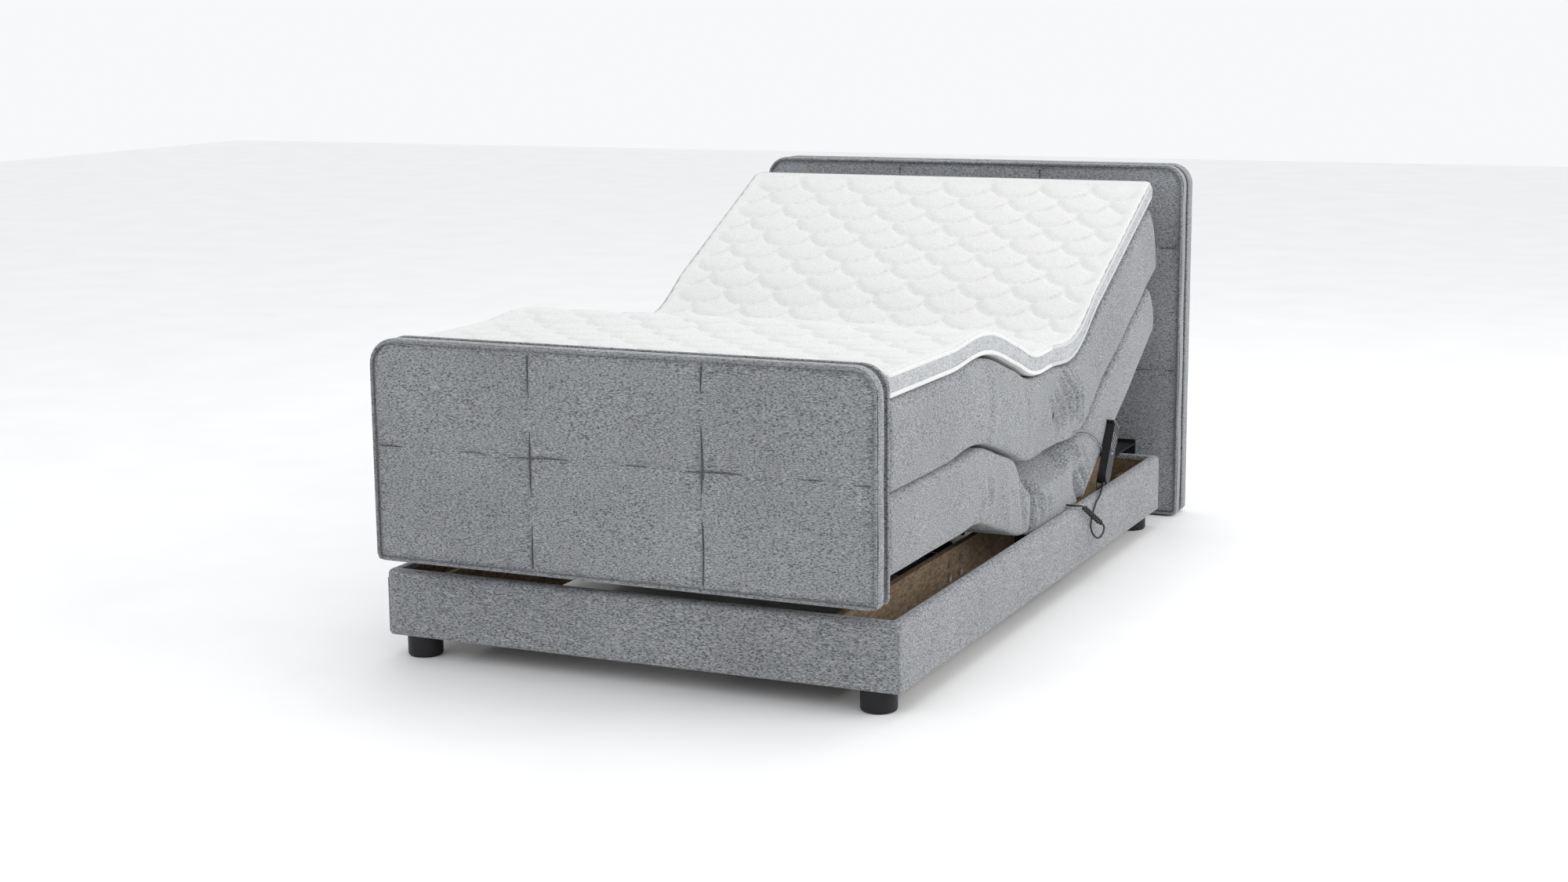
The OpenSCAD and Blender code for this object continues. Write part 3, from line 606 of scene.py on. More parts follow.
def bendToRest(y, z, zone, lines, folds):
    # Lays flat points into the raised pose, each turned by its weight in the blend zone.
    w = np.zeros(len(y))
    for _ in range(80):
        if zone == "foot":
            a, b = turned(y, z, lines["knee"], w * restAngles["knee"])
            a, b = turned(a, b, lines["thigh"], restAngles["thigh"])
            w = 0.5 * w + 0.5 * folds["knee"].weight(a, b)
        elif zone == "middle":
            a, b = turned(y, z, lines["thigh"], w * restAngles["thigh"])
            w = 0.5 * w + 0.5 * folds["thigh"].weight(a, b)
        else:
            a, b = turned(y, z, lines["back"], w * restAngles["back"])
            w = 0.5 * w + 0.5 * folds["back"].weight(a, b)
    return a, b


def halfSection(half, low, high, bottomEdge, topEdge, topPower, bulge, counts):
    # Points of one half of a padded section, from bottom middle round to top middle.
    flatCount, edgeCount, sideCount = counts
    bx, bz = bottomEdge
    tx, tz = topEdge
    t = np.linspace(0, math.pi / 2, edgeCount + 1)
    xs = [np.linspace(0, half - bx, flatCount, endpoint=False)]
    zs = [np.full(flatCount, low)]
    xs.append(half - bx + bx * np.sin(t))
    zs.append(low + bz - bz * np.cos(t))
    s = np.linspace(0, 1, sideCount + 1)[1:-1]
    xs.append(half + bulge * 4 * s * (1 - s))
    zs.append(low + bz + (high - tz - low - bz) * s)
    power = 2 / topPower
    xs.append(half - tx + tx * np.cos(t) ** power)
    zs.append(high - tz + tz * np.sin(t) ** power)
    xs.append(np.linspace(half - tx, 0, flatCount + 1)[1:])
    zs.append(np.full(flatCount, high))
    return np.concatenate(xs), np.concatenate(zs)


def layerZone(key, zone, flatY, shapeAt, lines, folds, counts, relief, materials, faceSlot):
    # One closed piece of a layer: sections along flatY, bent into the raised pose.
    rings = []
    for y in flatY:
        x, z = shapeAt(y, counts)
        rings.append(np.column_stack([np.concatenate([x, -x[-2:0:-1]]),
                                      np.full(2 * len(x) - 2, y),
                                      np.concatenate([z, z[-2:0:-1]])]))
    halfCount = len(x)
    size = len(rings[0])
    verts = np.vstack(rings)
    flat = verts.copy()
    y, z = bendToRest(verts[:, 1], verts[:, 2], zone, lines, folds)
    verts[:, 1], verts[:, 2] = y, z
    verts = relief(verts, flat)
    faces, slots = [], []
    for i in range(len(flatY) - 1):
        for k in range(size):
            m = (k + 1) % size
            faces.append((i * size + k, i * size + m, (i + 1) * size + m, (i + 1) * size + k))
            slots.append(faceSlot(k if k < halfCount else size - 1 - k, counts, halfCount))
    last = halfCount - 1
    for base, flip in ((0, True), ((len(flatY) - 1) * size, False)):
        for side in (0, 1):
            def at(k):
                return base + (k if side == 0 else (size - k) % size)
            for k in range(last // 2):
                quad = [at(k), at(k + 1), at(last - k - 1), at(last - k)]
                quad = list(dict.fromkeys(quad))
                if (side == 0) == flip:
                    quad.reverse()
                faces.append(tuple(quad))
                slots.append(faceSlot(counts[0] + counts[1] + 2, counts, halfCount))
    obj = makeObject(key + zone.capitalize(), verts, faces, materials, sharp=55, faceMaterial=slots)
    return recalc(obj)


def endInset(y, low, high, r):
    # How far a layer's outline draws in near its rounded head and foot ends.
    d = np.minimum(np.clip((y - low) / r, 0, 1), np.clip((high - y) / r, 0, 1))
    return r * (1 - math.sqrt(max(0.0, 1 - (1 - d) ** 2)))


def stations(low, high, step, roundLow, roundHigh):
    inner = list(np.arange(low + roundLow, high - roundHigh, step))
    quarter = np.linspace(0, math.pi / 2, 6)
    front, tail = [low], [high]
    if roundLow:
        front = [low + roundLow * (1 - math.cos(a)) for a in quarter[:-1]]
    if roundHigh:
        tail = [high - roundHigh * (1 - math.cos(a)) for a in np.linspace(math.pi / 2, 0, 6)]
    if roundLow == 0:
        inner = inner[1:]
    return np.array(front + inner + tail)


layerSets = {
    "base": {"low": 0.206, "high": 0.378, "half": 0.596, "foot": -1.0765, "head": 1.003, "lean": 0.014,
             "rise": 0.04, "kneeReach": (0.12, 0.13), "thighReach": (0.1, 0.1), "backReach": (0.13, 0.13),
             "seatCut": -0.062,
             "step": 0.0085, "counts": (8, 9, 18), "edge": 0.017, "bulge": 0.004, "lift": (0, 0),
             "parts": (["base_calf"], ["base_thigh"], ["base_back", "base_seat"])},
    "mattress": {"low": 0.3785, "high": 0.5745, "half": 0.596, "foot": -1.0745, "head": 1.008,
                 "lean": 0.014, "kneeReach": (0.145, 0.27), "thighReach": (0.15, 0.118),
                 "backReach": (0.19, 0.22),
                 "seatCut": 0.005, "step": 0.0085, "counts": (8, 7, 20), "edge": 0.015, "bulge": 0.005,
                 "lift": (0.0015, 0.009), "parts": (["mattress_calf"], ["mattress_thigh"],
                                                    ["mattress_back", "mattress_seat"])},
    "topper": {"low": 0.5752, "high": 0.633, "half": 0.592, "foot": -1.0745, "head": 0.966, "lean": 0.003,
               "kneeReach": (0.14, 0.28), "thighReach": (0.122, 0.135), "backReach": (0.17, 0.22),
               "seatCut": 0.0053,
               "step": 0.0085, "counts": (68, 4, 7), "edge": 0.008, "bulge": 0.003,
               "lift": (0.0015, 0.0105), "parts": (["topper_calf"], ["topper_thigh"],
                                                    ["topper_back", "topper_seat"])}}
foldNames = ("knee", "thigh", "back")
zones = ("foot", "middle", "head")

# Creases pressed into the sides: the run of each in y and z, its width and its height.
baseCreases = [
    ([(-0.447, 0.4), (-0.432, 0.364), (-0.434, 0.325)], 0.014, 0.004),
    ([(-0.462, 0.4), (-0.449, 0.364), (-0.452, 0.33)], 0.01, -0.004),
    ([(-0.499, 0.377), (-0.481, 0.344), (-0.489, 0.309)], 0.014, 0.003),
    ([(-0.216, 0.325), (-0.2, 0.286), (-0.19, 0.227)], 0.014, 0.004),
    ([(-0.24, 0.33), (-0.222, 0.28), (-0.212, 0.225)], 0.012, -0.003),
    ([(-0.34, 0.344), (-0.33, 0.286), (-0.32, 0.253)], 0.02, 0.003),
    ([(-0.119, 0.315), (-0.128, 0.266), (-0.142, 0.2)], 0.017, -0.03),
    ([(-0.086, 0.302), (-0.07, 0.273), (-0.054, 0.234)], 0.014, 0.006),
    ([(-0.1, 0.29), (-0.088, 0.26), (-0.078, 0.22)], 0.011, -0.005),
    ([(-0.014, 0.286), (-0.008, 0.247), (-0.01, 0.201)], 0.013, 0.004),
    ([(0.196, 0.279), (0.209, 0.247), (0.255, 0.201)], 0.011, -0.012),
    ([(0.206, 0.286), (0.258, 0.24), (0.276, 0.201)], 0.01, 0.006),
    ([(0.222, 0.299), (0.261, 0.266), (0.284, 0.221)], 0.009, -0.009),
    ([(0.232, 0.305), (0.284, 0.266), (0.294, 0.227)], 0.011, 0.006),
    ([(0.25, 0.32), (0.31, 0.28), (0.325, 0.25)], 0.011, -0.005),
    ([(0.128, 0.39), (0.193, 0.331), (0.232, 0.296)], 0.009, 0.005),
    ([(0.14, 0.39), (0.205, 0.335), (0.245, 0.3)], 0.008, -0.005),
    ([(0.16, 0.39), (0.219, 0.338), (0.258, 0.305)], 0.009, 0.005),
    ([(0.186, 0.377), (0.245, 0.331), (0.284, 0.299)], 0.009, 0.004),
    ([(0.2, 0.37), (0.262, 0.327), (0.3, 0.294)], 0.008, -0.004)]
baseWelt = [(0.173, 0.391), (0.238, 0.383), (0.31, 0.366), (0.375, 0.338), (0.407, 0.32), (0.42, 0.305)]
mattressCreases = [
    ([(-0.03, 0.504), (0.009, 0.461), (0.038, 0.419)], 0.012, -0.004),
    ([(-0.015, 0.504), (0.024, 0.461), (0.053, 0.419)], 0.012, 0.006),
    ([(0.015, 0.515), (0.058, 0.47), (0.083, 0.42)], 0.011, -0.005),
    ([(0.031, 0.52), (0.076, 0.474), (0.102, 0.422)], 0.012, 0.007),
    ([(0.055, 0.54), (0.11, 0.49), (0.143, 0.43)], 0.011, -0.006),
    ([(0.07, 0.543), (0.134, 0.494), (0.167, 0.435)], 0.012, 0.007),
    ([(0.09, 0.556), (0.16, 0.498), (0.19, 0.43)], 0.01, -0.006),
    ([(0.102, 0.559), (0.18, 0.494), (0.206, 0.429)], 0.01, 0.006),
    ([(0.154, 0.552), (0.212, 0.487), (0.229, 0.409)], 0.011, 0.008),
    ([(0.168, 0.552), (0.228, 0.487), (0.243, 0.41)], 0.009, -0.006),
    ([(-0.48, 0.65), (-0.455, 0.56), (-0.47, 0.47)], 0.02, -0.0024),
    ([(-0.44, 0.64), (-0.425, 0.56), (-0.435, 0.46)], 0.02, 0.0024),
    ([(-0.21, 0.58), (-0.185, 0.5), (-0.195, 0.4)], 0.02, -0.0022)]


def pressCreases(verts, creases):
    out = np.zeros(len(verts))
    for line, width, lift in creases:
        gap, along = lineDistance(verts[:, 1], verts[:, 2], line)
        fade = np.sin(math.pi * np.clip(0.08 + 0.84 * along, 0, 1)) ** 0.5
        out += 1.55 * lift * hump(gap, width * 0.88) * fade
    return out


def baseShape(y, counts):
    s = layerSets["base"]
    inset = endInset(y, s["foot"], s["head"], 0.014)
    low = s["low"] + s["rise"] * min(max((y - 0.288) / 0.715, 0), 1)
    c = float(smoothStep((y + 0.33) / 0.16) * (1 - smoothStep((y - 0.1) / 0.16)))
    edge = (s["edge"] + (0.105 - s["edge"]) * c, s["edge"] + (0.077 - s["edge"]) * c)
    x, z = halfSection(s["half"] - inset, low, s["high"] - 0.0005 - inset - 0.004 * c, (0.012, 0.012), edge,
                       2 - 0.97 * c, s["bulge"] * (1 - 0.3 * c), counts)
    roof = max(0.2405 + 0.011 * math.exp(-((y + 0.52) / 0.16) ** 2), low + 0.001)
    x[:counts[0]] = [0, 0.16, 0.32, 0.468, 0.4695, 0.5, 0.53, 0.56]
    z[:4] = roof
    z += inset * 0.5
    tuck = 0.019 * float(smoothStep((y + 0.19) / 0.07) * (1 - smoothStep((y - 0.2) / 0.06)))
    skirt = (np.arange(len(x)) > 4) & (z < low + 0.05)
    z -= np.where(skirt, tuck * np.clip((low + 0.05 - z) / 0.05, 0, 1), 0)
    return x, z


def mattressShape(y, counts):
    s = layerSets["mattress"]
    inset = endInset(y, s["foot"], s["head"], 0.014)
    low = s["low"] + s["lift"][0] * float(smoothStep((-0.19 - y) / 0.1)) \
        + s["lift"][1] * float(smoothStep((y - 0.15) / 0.25))
    return halfSection(s["half"] - inset, low + inset, s["high"] - inset, (s["edge"], s["edge"]),
                       (s["edge"], s["edge"]), 2, s["bulge"], counts)


def topperShape(y, counts):
    s = layerSets["topper"]
    inset = endInset(y, s["foot"], s["head"], 0.01)
    low = s["low"] + s["lift"][0] * float(smoothStep((-0.14 - y) / 0.1)) \
        + s["lift"][1] * float(smoothStep((y - 0.1) / 0.25))
    return halfSection(s["half"] - inset, low + inset * 0.5, s["high"] - inset * 0.5,
                       (s["edge"], s["edge"]), (s["edge"], s["edge"]), 2, s["bulge"], counts)


def leanHead(verts, flat, s):
    share = np.clip((flat[:, 1] - s["head"] + 0.15) / 0.15, 0, 1)
    verts = verts.copy()
    up = np.clip((flat[:, 2] - s["low"]) / (s["high"] - s["low"]), 0, 1) * share * s["lean"]
    a = restAngles["back"]
    verts[:, 1] += up * math.cos(a)
    verts[:, 2] += up * math.sin(a)
    return verts


def sideways(verts, amount, inner=0.5):
    side = np.sign(verts[:, 0]) * smoothStep((np.abs(verts[:, 0]) - inner) / 0.05)
    verts[:, 0] += side * amount
    return verts


def baseRelief(verts, flat):
    verts = leanHead(verts, flat, layerSets["base"])
    push = pressCreases(verts, baseCreases) + 0.0016 * softNoise(verts, 26, 3) \
        + 0.0008 * softNoise(verts, 70, 4)
    gap = lineDistance(verts[:, 1], verts[:, 2], baseWelt)[0]
    below = np.interp(verts[:, 1], [p[0] for p in baseWelt], [p[1] for p in baseWelt]) - verts[:, 2]
    inside = (verts[:, 1] > 0.17) & (verts[:, 1] < 0.42)
    step = smoothStep(below / 0.006) * smoothStep((0.42 - verts[:, 1]) / 0.03)
    push += np.where(inside, -0.004 * step, 0)
    push -= 0.0025 * hump(gap, 0.004)
    return sideways(verts, push)


def mattressRelief(verts, flat):
    verts = leanHead(verts, flat, layerSets["mattress"])
    push = pressCreases(verts, mattressCreases) + 0.0017 * softNoise(verts, 22, 8) \
        + 0.0007 * softNoise(verts, 60, 9)
    return sideways(verts, push)


quiltSet = {"cell": 0.145, "puff": 0.0075, "groove": 0.006}


def quiltHeight(x, y, s):
    # Overlapping scallops: each row of arcs starts half a cell on from the last.
    row = np.floor(y / (s["cell"] * 0.5))
    best = np.full(len(x), 9.0)
    for step in (-1, 0, 1, 2):
        r = row + step
        cx = (np.round((x / s["cell"]) - 0.5 * (r % 2)) + 0.5 * (r % 2)) * s["cell"]
        d = np.hypot(x - cx, y - r * s["cell"] * 0.5)
        onArc = y <= r * s["cell"] * 0.5 + 0.001
        gap = np.where(onArc, np.abs(d - s["cell"] * 0.5), 9.0)
        best = np.minimum(best, gap)
    stitched = np.exp(-(best / s["groove"]))
    return -s["puff"] * stitched - 0.35 * s["puff"] * np.exp(-(best / (4 * s["groove"])))


def topperRelief(verts, flat):
    verts = leanHead(verts, flat, layerSets["topper"])
    s = layerSets["topper"]
    top = smoothStep((flat[:, 2] - s["high"] + 0.004) / 0.003)
    rim = smoothStep((s["half"] - 0.012 - np.abs(flat[:, 0])) / 0.03)
    ends = smoothStep((flat[:, 1] - s["foot"] - 0.015) / 0.03) \
        * smoothStep((s["head"] - 0.015 - flat[:, 1]) / 0.03)
    quilt = quiltHeight(flat[:, 0], flat[:, 1], quiltSet) + 0.0015 * softNoise(flat, 9, 12)
    drop = quilt * top * rim * ends
    angle = np.interp(flat[:, 1], [-0.43, -0.15, -0.05, 0.1, 0.28], [0, restAngles["thigh"], 0, 0,
                                                                     restAngles["back"]])
    verts[:, 1] += -drop * np.sin(angle)
    verts[:, 2] += drop * np.cos(angle)
    pleat = 0.0012 * np.sin(flat[:, 1] * 2 * math.pi / 0.043 + 1.3 * np.sin(flat[:, 1] * 9)) \
        + 0.0012 * softNoise(verts, 30, 14)
    return sideways(verts, pleat, 0.55)


def plainSlot(k, counts, halfCount):
    return 0


def topperSlot(k, counts, halfCount):
    edge = counts[0] + counts[1]
    return 1 if edge - 1 <= k <= halfCount - edge - 1 else 0


layerMakers = {"base": (baseShape, baseRelief, [greyCloth], plainSlot, "grey_fabric", 0.9),
               "mattress": (mattressShape, mattressRelief, [greyCloth], plainSlot, "grey_fabric", 0.85),
               "topper": (topperShape, topperRelief, [topCloth, borderMesh], topperSlot,
                          "white_ticking", 0.8)}
foldData = {}
for key, s in layerSets.items():
    lines, folds = layerFolds(key, s)
    foldData[key] = (lines, folds)
    cut = (lines["knee"][0] + lines["thigh"][0]) / 2
    spans = ((s["foot"], cut), (cut, s["seatCut"]), (s["seatCut"], s["head"]))
    shape, relief, finishes, slotOf, slotName, fill = layerMakers[key]
    for zone, span, foldName, parts in zip(zones, spans, foldNames, s["parts"]):
        rows = stations(span[0], span[1], s["step"], 0.02 if zone == "foot" else 0,
                        0.02 if zone == "head" else 0)
        piece = layerZone(key, zone, rows, shape, lines, folds, s["counts"], relief, finishes, slotOf)
        folds[foldName].blend(piece)
        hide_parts(*parts)
    print(key, "layer made")


# Ribbed tape along both edges of the topper, bent with it.
tapeSet = {"spacing": 0.0042, "width": 0.0022, "height": 0.0022, "length": 0.0062, "reach": 0.0055}


def tapeOutline(zone, s, z, span):
    h, r = s["half"] + 0.0012, 0.02
    low, high = span
    if zone == "middle":
        return [[(sx * h, y, z) for y in np.arange(low, high + 0.001, 0.008)] for sx in (-1, 1)]
    end = s["foot"] - 0.001 if zone == "foot" else s["head"] + 0.001
    sign = -1 if zone == "foot" else 1
    inner = high if zone == "foot" else low
    side = list(np.arange(inner, end - sign * r, sign * 0.008))
    pts = [(-h, y, z) for y in side]
    corner = np.linspace(0, math.pi / 2, 7)
    pts += [(-h + r - r * math.cos(a), end - sign * (r - r * math.sin(a)), z) for a in corner]
    pts += [(x, end, z) for x in np.arange(-h + r + 0.01, h - r - 0.005, 0.01)]
    pts += [(h - r + r * math.sin(a), end - sign * (r - r * math.cos(a)), z) for a in corner]
    pts += [(h, y, z) for y in reversed(side)]
    return [pts]


def joinPlain(name, parts):
    bm = bmesh.new()
    materials = []
    for part in parts:
        start = len(bm.faces)
        bm.from_mesh(part.data)
        bm.faces.ensure_lookup_table()
        for f in bm.faces[start:]:
            finish = part.data.materials[min(f.material_index, len(part.data.materials) - 1)]
            if finish not in materials:
                materials.append(finish)
            f.material_index = materials.index(finish)
    mesh = bpy.data.meshes.new(name)
    bm.to_mesh(mesh)
    bm.free()
    for finish in materials:
        mesh.materials.append(finish)
    mesh.shade_smooth()
    obj = bpy.data.objects.new(name, mesh)
    scene.collection.objects.link(obj)
    for part in parts:
        bpy.data.objects.remove(part)
    return obj


def bendObject(obj, zone, key):
    lines, folds = foldData[key]
    co = np.empty(len(obj.data.vertices) * 3)
    obj.data.vertices.foreach_get("co", co)
    co = co.reshape(-1, 3)
    y, z = bendToRest(co[:, 1], co[:, 2], zone, lines, folds)
    flat = co.copy()
    co[:, 1], co[:, 2] = y, z
    co = leanHead(co, flat, layerSets[key])
    obj.data.vertices.foreach_set("co", co.ravel())
    obj.data.update()
    folds[foldNames[zones.index(zone)]].blend(obj)


topperSet = layerSets["topper"]
cut = (foldData["topper"][0]["knee"][0] + foldData["topper"][0]["thigh"][0]) / 2
for zone, span in zip(zones, ((topperSet["foot"], cut), (cut, topperSet["seatCut"]),
                              (topperSet["seatCut"], topperSet["head"]))):
    built = []
    tapeFinish = greyTape if zone == "head" else whiteTape
    for edge, height in (("Lower", topperSet["low"] + 0.0085), ("Upper", topperSet["high"] - 0.0075)):
        lift = topperSet["lift"][1] if zone == "head" and edge == "Lower" else 0
        for i, pts in enumerate(tapeOutline(zone, topperSet, height, span)):
            pts = [(x, y, z + lift * float(smoothStep((y - 0.1) / 0.25))) for x, y, z in pts]
            name = "tape" + edge + zone.capitalize() + str(i)
            built.append(tubeAlong(name + "Band", pts, tapeSet["reach"], tapeFinish, 8, flat=1.0))
            band = built[-1]
            co = np.empty(len(band.data.vertices) * 3)
            band.data.vertices.foreach_get("co", co)
            co = co.reshape(-1, 3)
            middle = np.repeat(np.array(pts), 8, axis=0)
            co[:, :2] = middle[:, :2] + (co[:, :2] - middle[:, :2]) * 0.42
            band.data.vertices.foreach_set("co", co.ravel())
            built.append(beadsAlong(name, [(pts, False)], tapeSet, tapeFinish, along=False))
    tape = joinPlain("topperTape" + zone.capitalize(), built)
    bendObject(tape, zone, "topper")
print("topper tape made")

# Raised welt on each side of the base's back section.
weltSet = {"spacing": 0.005, "width": 0.0011, "height": 0.0011, "length": 0.0026}
weltRoute = fineCurve([(0.5975, y, z) for y, z in baseWelt], 0.006)
welts = []
for side in (-1, 1):
    path = [(side * x, y, z) for x, y, z in weltRoute]
    welts.append(tubeAlong("weltTube" + str(side), path, 0.0026, pipingCloth, 8))
    below = [(side * 0.5995, y - 0.002, z - 0.0075) for _, y, z in weltRoute]
    welts.append(beadsAlong("weltStitch" + str(side), [(below, False)], weltSet, greyThread))
welt = joinPlain("baseWelt", welts)
foldData["base"][1]["back"].blend(welt)


# Head and footboard
def gridLines(half, low, high, topR, lowR, step):
    xs = sorted({-half, -half + topR, -half + lowR, half - lowR, half - topR, half})
    zs = sorted({low, low + lowR, high - topR, high})
    def fill(marks):
        out = [marks[0]]
        for a, b in zip(marks, marks[1:]):
            n = max(2, int(round((b - a) / step)))
            out += list(np.linspace(a, b, n + 1)[1:])
        return np.array(out)
    return fill(xs), fill(zs)


def roundCorners(x, z, half, low, high, topR, lowR):
    x, z = x.copy(), z.copy()
    for sx in (-1, 1):
        for cz, r, up in ((high - topR, topR, 1), (low + lowR, lowR, -1)):
            a = (sx * x - (half - r)) / r
            b = (up * (z - cz)) / r
            m = (a > 0) & (b > 0)
            u, v = a[m], b[m]
            x[m] = sx * ((half - r) + r * u * np.sqrt(1 - v * v / 2))
            z[m] = cz + up * r * v * np.sqrt(1 - u * u / 2)
    return x, z


def edgeDistance(x, z, half, low, high, topR):
    mid, tall = (low + high) / 2, (high - low) / 2
    r = np.where(z > mid, topR, topR * 0.3)
    qx, qz = np.abs(x) - (half - r), np.abs(z - mid) - (tall - r)
    outside = np.hypot(np.maximum(qx, 0), np.maximum(qz, 0))
    return -(outside + np.minimum(np.maximum(qx, qz), 0) - r)


def boardPad(name, low, high, facing, s, material, seams=(), rings=()):
    # Facing -1 looks to the foot end, 1 to the head end. The plump face is on that side.
    half, zLow, zHigh = high[0], low[2], high[2]
    xs, zs = gridLines(half, zLow, zHigh, s["topRound"], s["lowRound"], s["step"])
    gx, gz = np.meshgrid(xs, zs, indexing="ij")
    x, z = roundCorners(gx.ravel(), gz.ravel(), half, zLow, zHigh, s["topRound"], s["lowRound"])
    face = low[1] if facing < 0 else high[1]
    back = high[1] if facing < 0 else low[1]
    e = edgeDistance(x, z, half, zLow, zHigh, s["topRound"])
    depth = s["edgeDrop"] * np.exp(-np.maximum(e, 0) / s["crown"]) + 0.0008 \
        + s["seamDip"] * hump(e - s["seamIn"], 0.0032)
    p = np.column_stack([x, np.zeros(len(x)), z])
    for axis, at, reach in seams:
        along = z if axis == "x" else x
        wander = 0.0016 * np.sin(along * 31 + at * 50)
        gap = np.abs((x if axis == "x" else z) - at - wander)
        inside = smoothStep((e - s["seamIn"]) / 0.01)
        depth += inside * (0.0052 * hump(gap, 0.0034) + 0.0045 * np.exp(-gap / reach))
        pull = np.sin(along * 2 * math.pi / 0.032 + 2.1 * np.sin(along * 23)) \
            + 0.6 * np.sin(along * 2 * math.pi / 0.019)
        depth += inside * 0.0011 * pull * np.exp(-gap / 0.03) * smoothStep(gap / 0.006)
    depth += 0.0011 * softNoise(p, 16, s["seed"]) + 0.0006 * softNoise(p, 45, s["seed"] + 1) + 0.0011
    n, m = len(xs), len(zs)
    y = face - facing * np.maximum(depth, 0)
    verts = list(zip(x, y, z))
    faces = [(i * m + j, (i + 1) * m + j, (i + 1) * m + j + 1, i * m + j + 1)
             for i in range(n - 1) for j in range(m - 1)]
    border = [i * m for i in range(n)] + [(n - 1) * m + j for j in range(1, m)] \
        + [i * m + m - 1 for i in range(n - 2, -1, -1)] + [j for j in range(m - 2, 0, -1)]
    bx, bz = x[border], z[border]
    mid = (zLow + zHigh) / 2
    ring = border
    for inset, share in rings:
        start = len(verts)
        sx, sz = (half - inset) / half, ((zHigh - zLow) / 2 - inset) / ((zHigh - zLow) / 2)
        wob = 0.0008 * np.sin(np.arange(len(border)) * 0.21 + share * 9)
        yy = face + (back - face) * share
        verts += [(a * sx * (1 + w / half), yy, mid + (b - mid) * sz)
                  for a, b, w in zip(bx, bz, wob * (inset < 0.004))]
        new = list(range(start, start + len(border)))
        faces += [(ring[k], ring[(k + 1) % len(ring)], new[(k + 1) % len(ring)], new[k])
                  for k in range(len(ring))]
        ring = new
    # The flat hidden side is the same grid again.
    start = len(verts)
    lookup = {v: ring[k] for k, v in enumerate(border)}
    sx, sz = (half - rings[-1][0]) / half, ((zHigh - zLow) / 2 - rings[-1][0]) / ((zHigh - zLow) / 2)
    count = 0
    for i in range(n):
        for j in range(m):
            v = i * m + j
            if v not in lookup:
                verts.append((x[v] * sx, back, mid + (z[v] - mid) * sz))
                lookup[v] = start + count
                count += 1
    faces += [(lookup[i * m + j], lookup[i * m + j + 1],
               lookup[(i + 1) * m + j + 1], lookup[(i + 1) * m + j])
              for i in range(n - 1) for j in range(m - 1)]
    return recalc(makeObject(name, verts, faces, [material], sharp=60))


def boardOutline(half, zLow, zHigh, topR, lowR, y, inset, step=0.012):
    h, lo, hi = half - inset, zLow + inset, zHigh - inset
    tr, lr = max(topR - inset, 0.004), max(lowR - inset, 0.004)
    pts = []
    for cx, cz, r, start in ((h - lr, lo + lr, lr, -90), (h - tr, hi - tr, tr, 0),
                             (-h + tr, hi - tr, tr, 90), (-h + lr, lo + lr, lr, 180)):
        pts += [(cx + r * math.cos(math.radians(start + a)), y, cz + r * math.sin(math.radians(start + a)))
                for a in np.linspace(0, 90, 9)]
    loop = np.array(pts + [pts[0]])
    length = np.concatenate([[0], np.cumsum(np.linalg.norm(np.diff(loop, axis=0), axis=1))])
    at = np.linspace(0, length[-1], int(length[-1] / step))[:-1]
    return np.column_stack([np.interp(at, length, loop[:, k]) for k in range(3)])


boardSets = {
    "foot": {"topRound": 0.058, "lowRound": 0.014, "step": 0.0075, "edgeDrop": 0.008, "crown": 0.03,
             "seamDip": 0.005, "seamIn": 0.009, "seed": 21, "body": "calf",
             "seams": [("x", -0.205, 0.045), ("x", 0.205, 0.045), ("z", 0.5, 0.045)]},
    "head": {"topRound": 0.058, "lowRound": 0.014, "step": 0.0095, "edgeDrop": 0.009, "crown": 0.035,
             "seamDip": 0.005, "seamIn": 0.009, "seed": 31, "body": "bed_frame",
             "seams": [("x", -0.215, 0.05), ("x", 0.215, 0.05), ("z", 0.768, 0.05), ("z", 0.42, 0.05)]}}
stitchSet = {"spacing": 0.0065, "width": 0.0008, "height": 0.0008, "length": 0.0021}

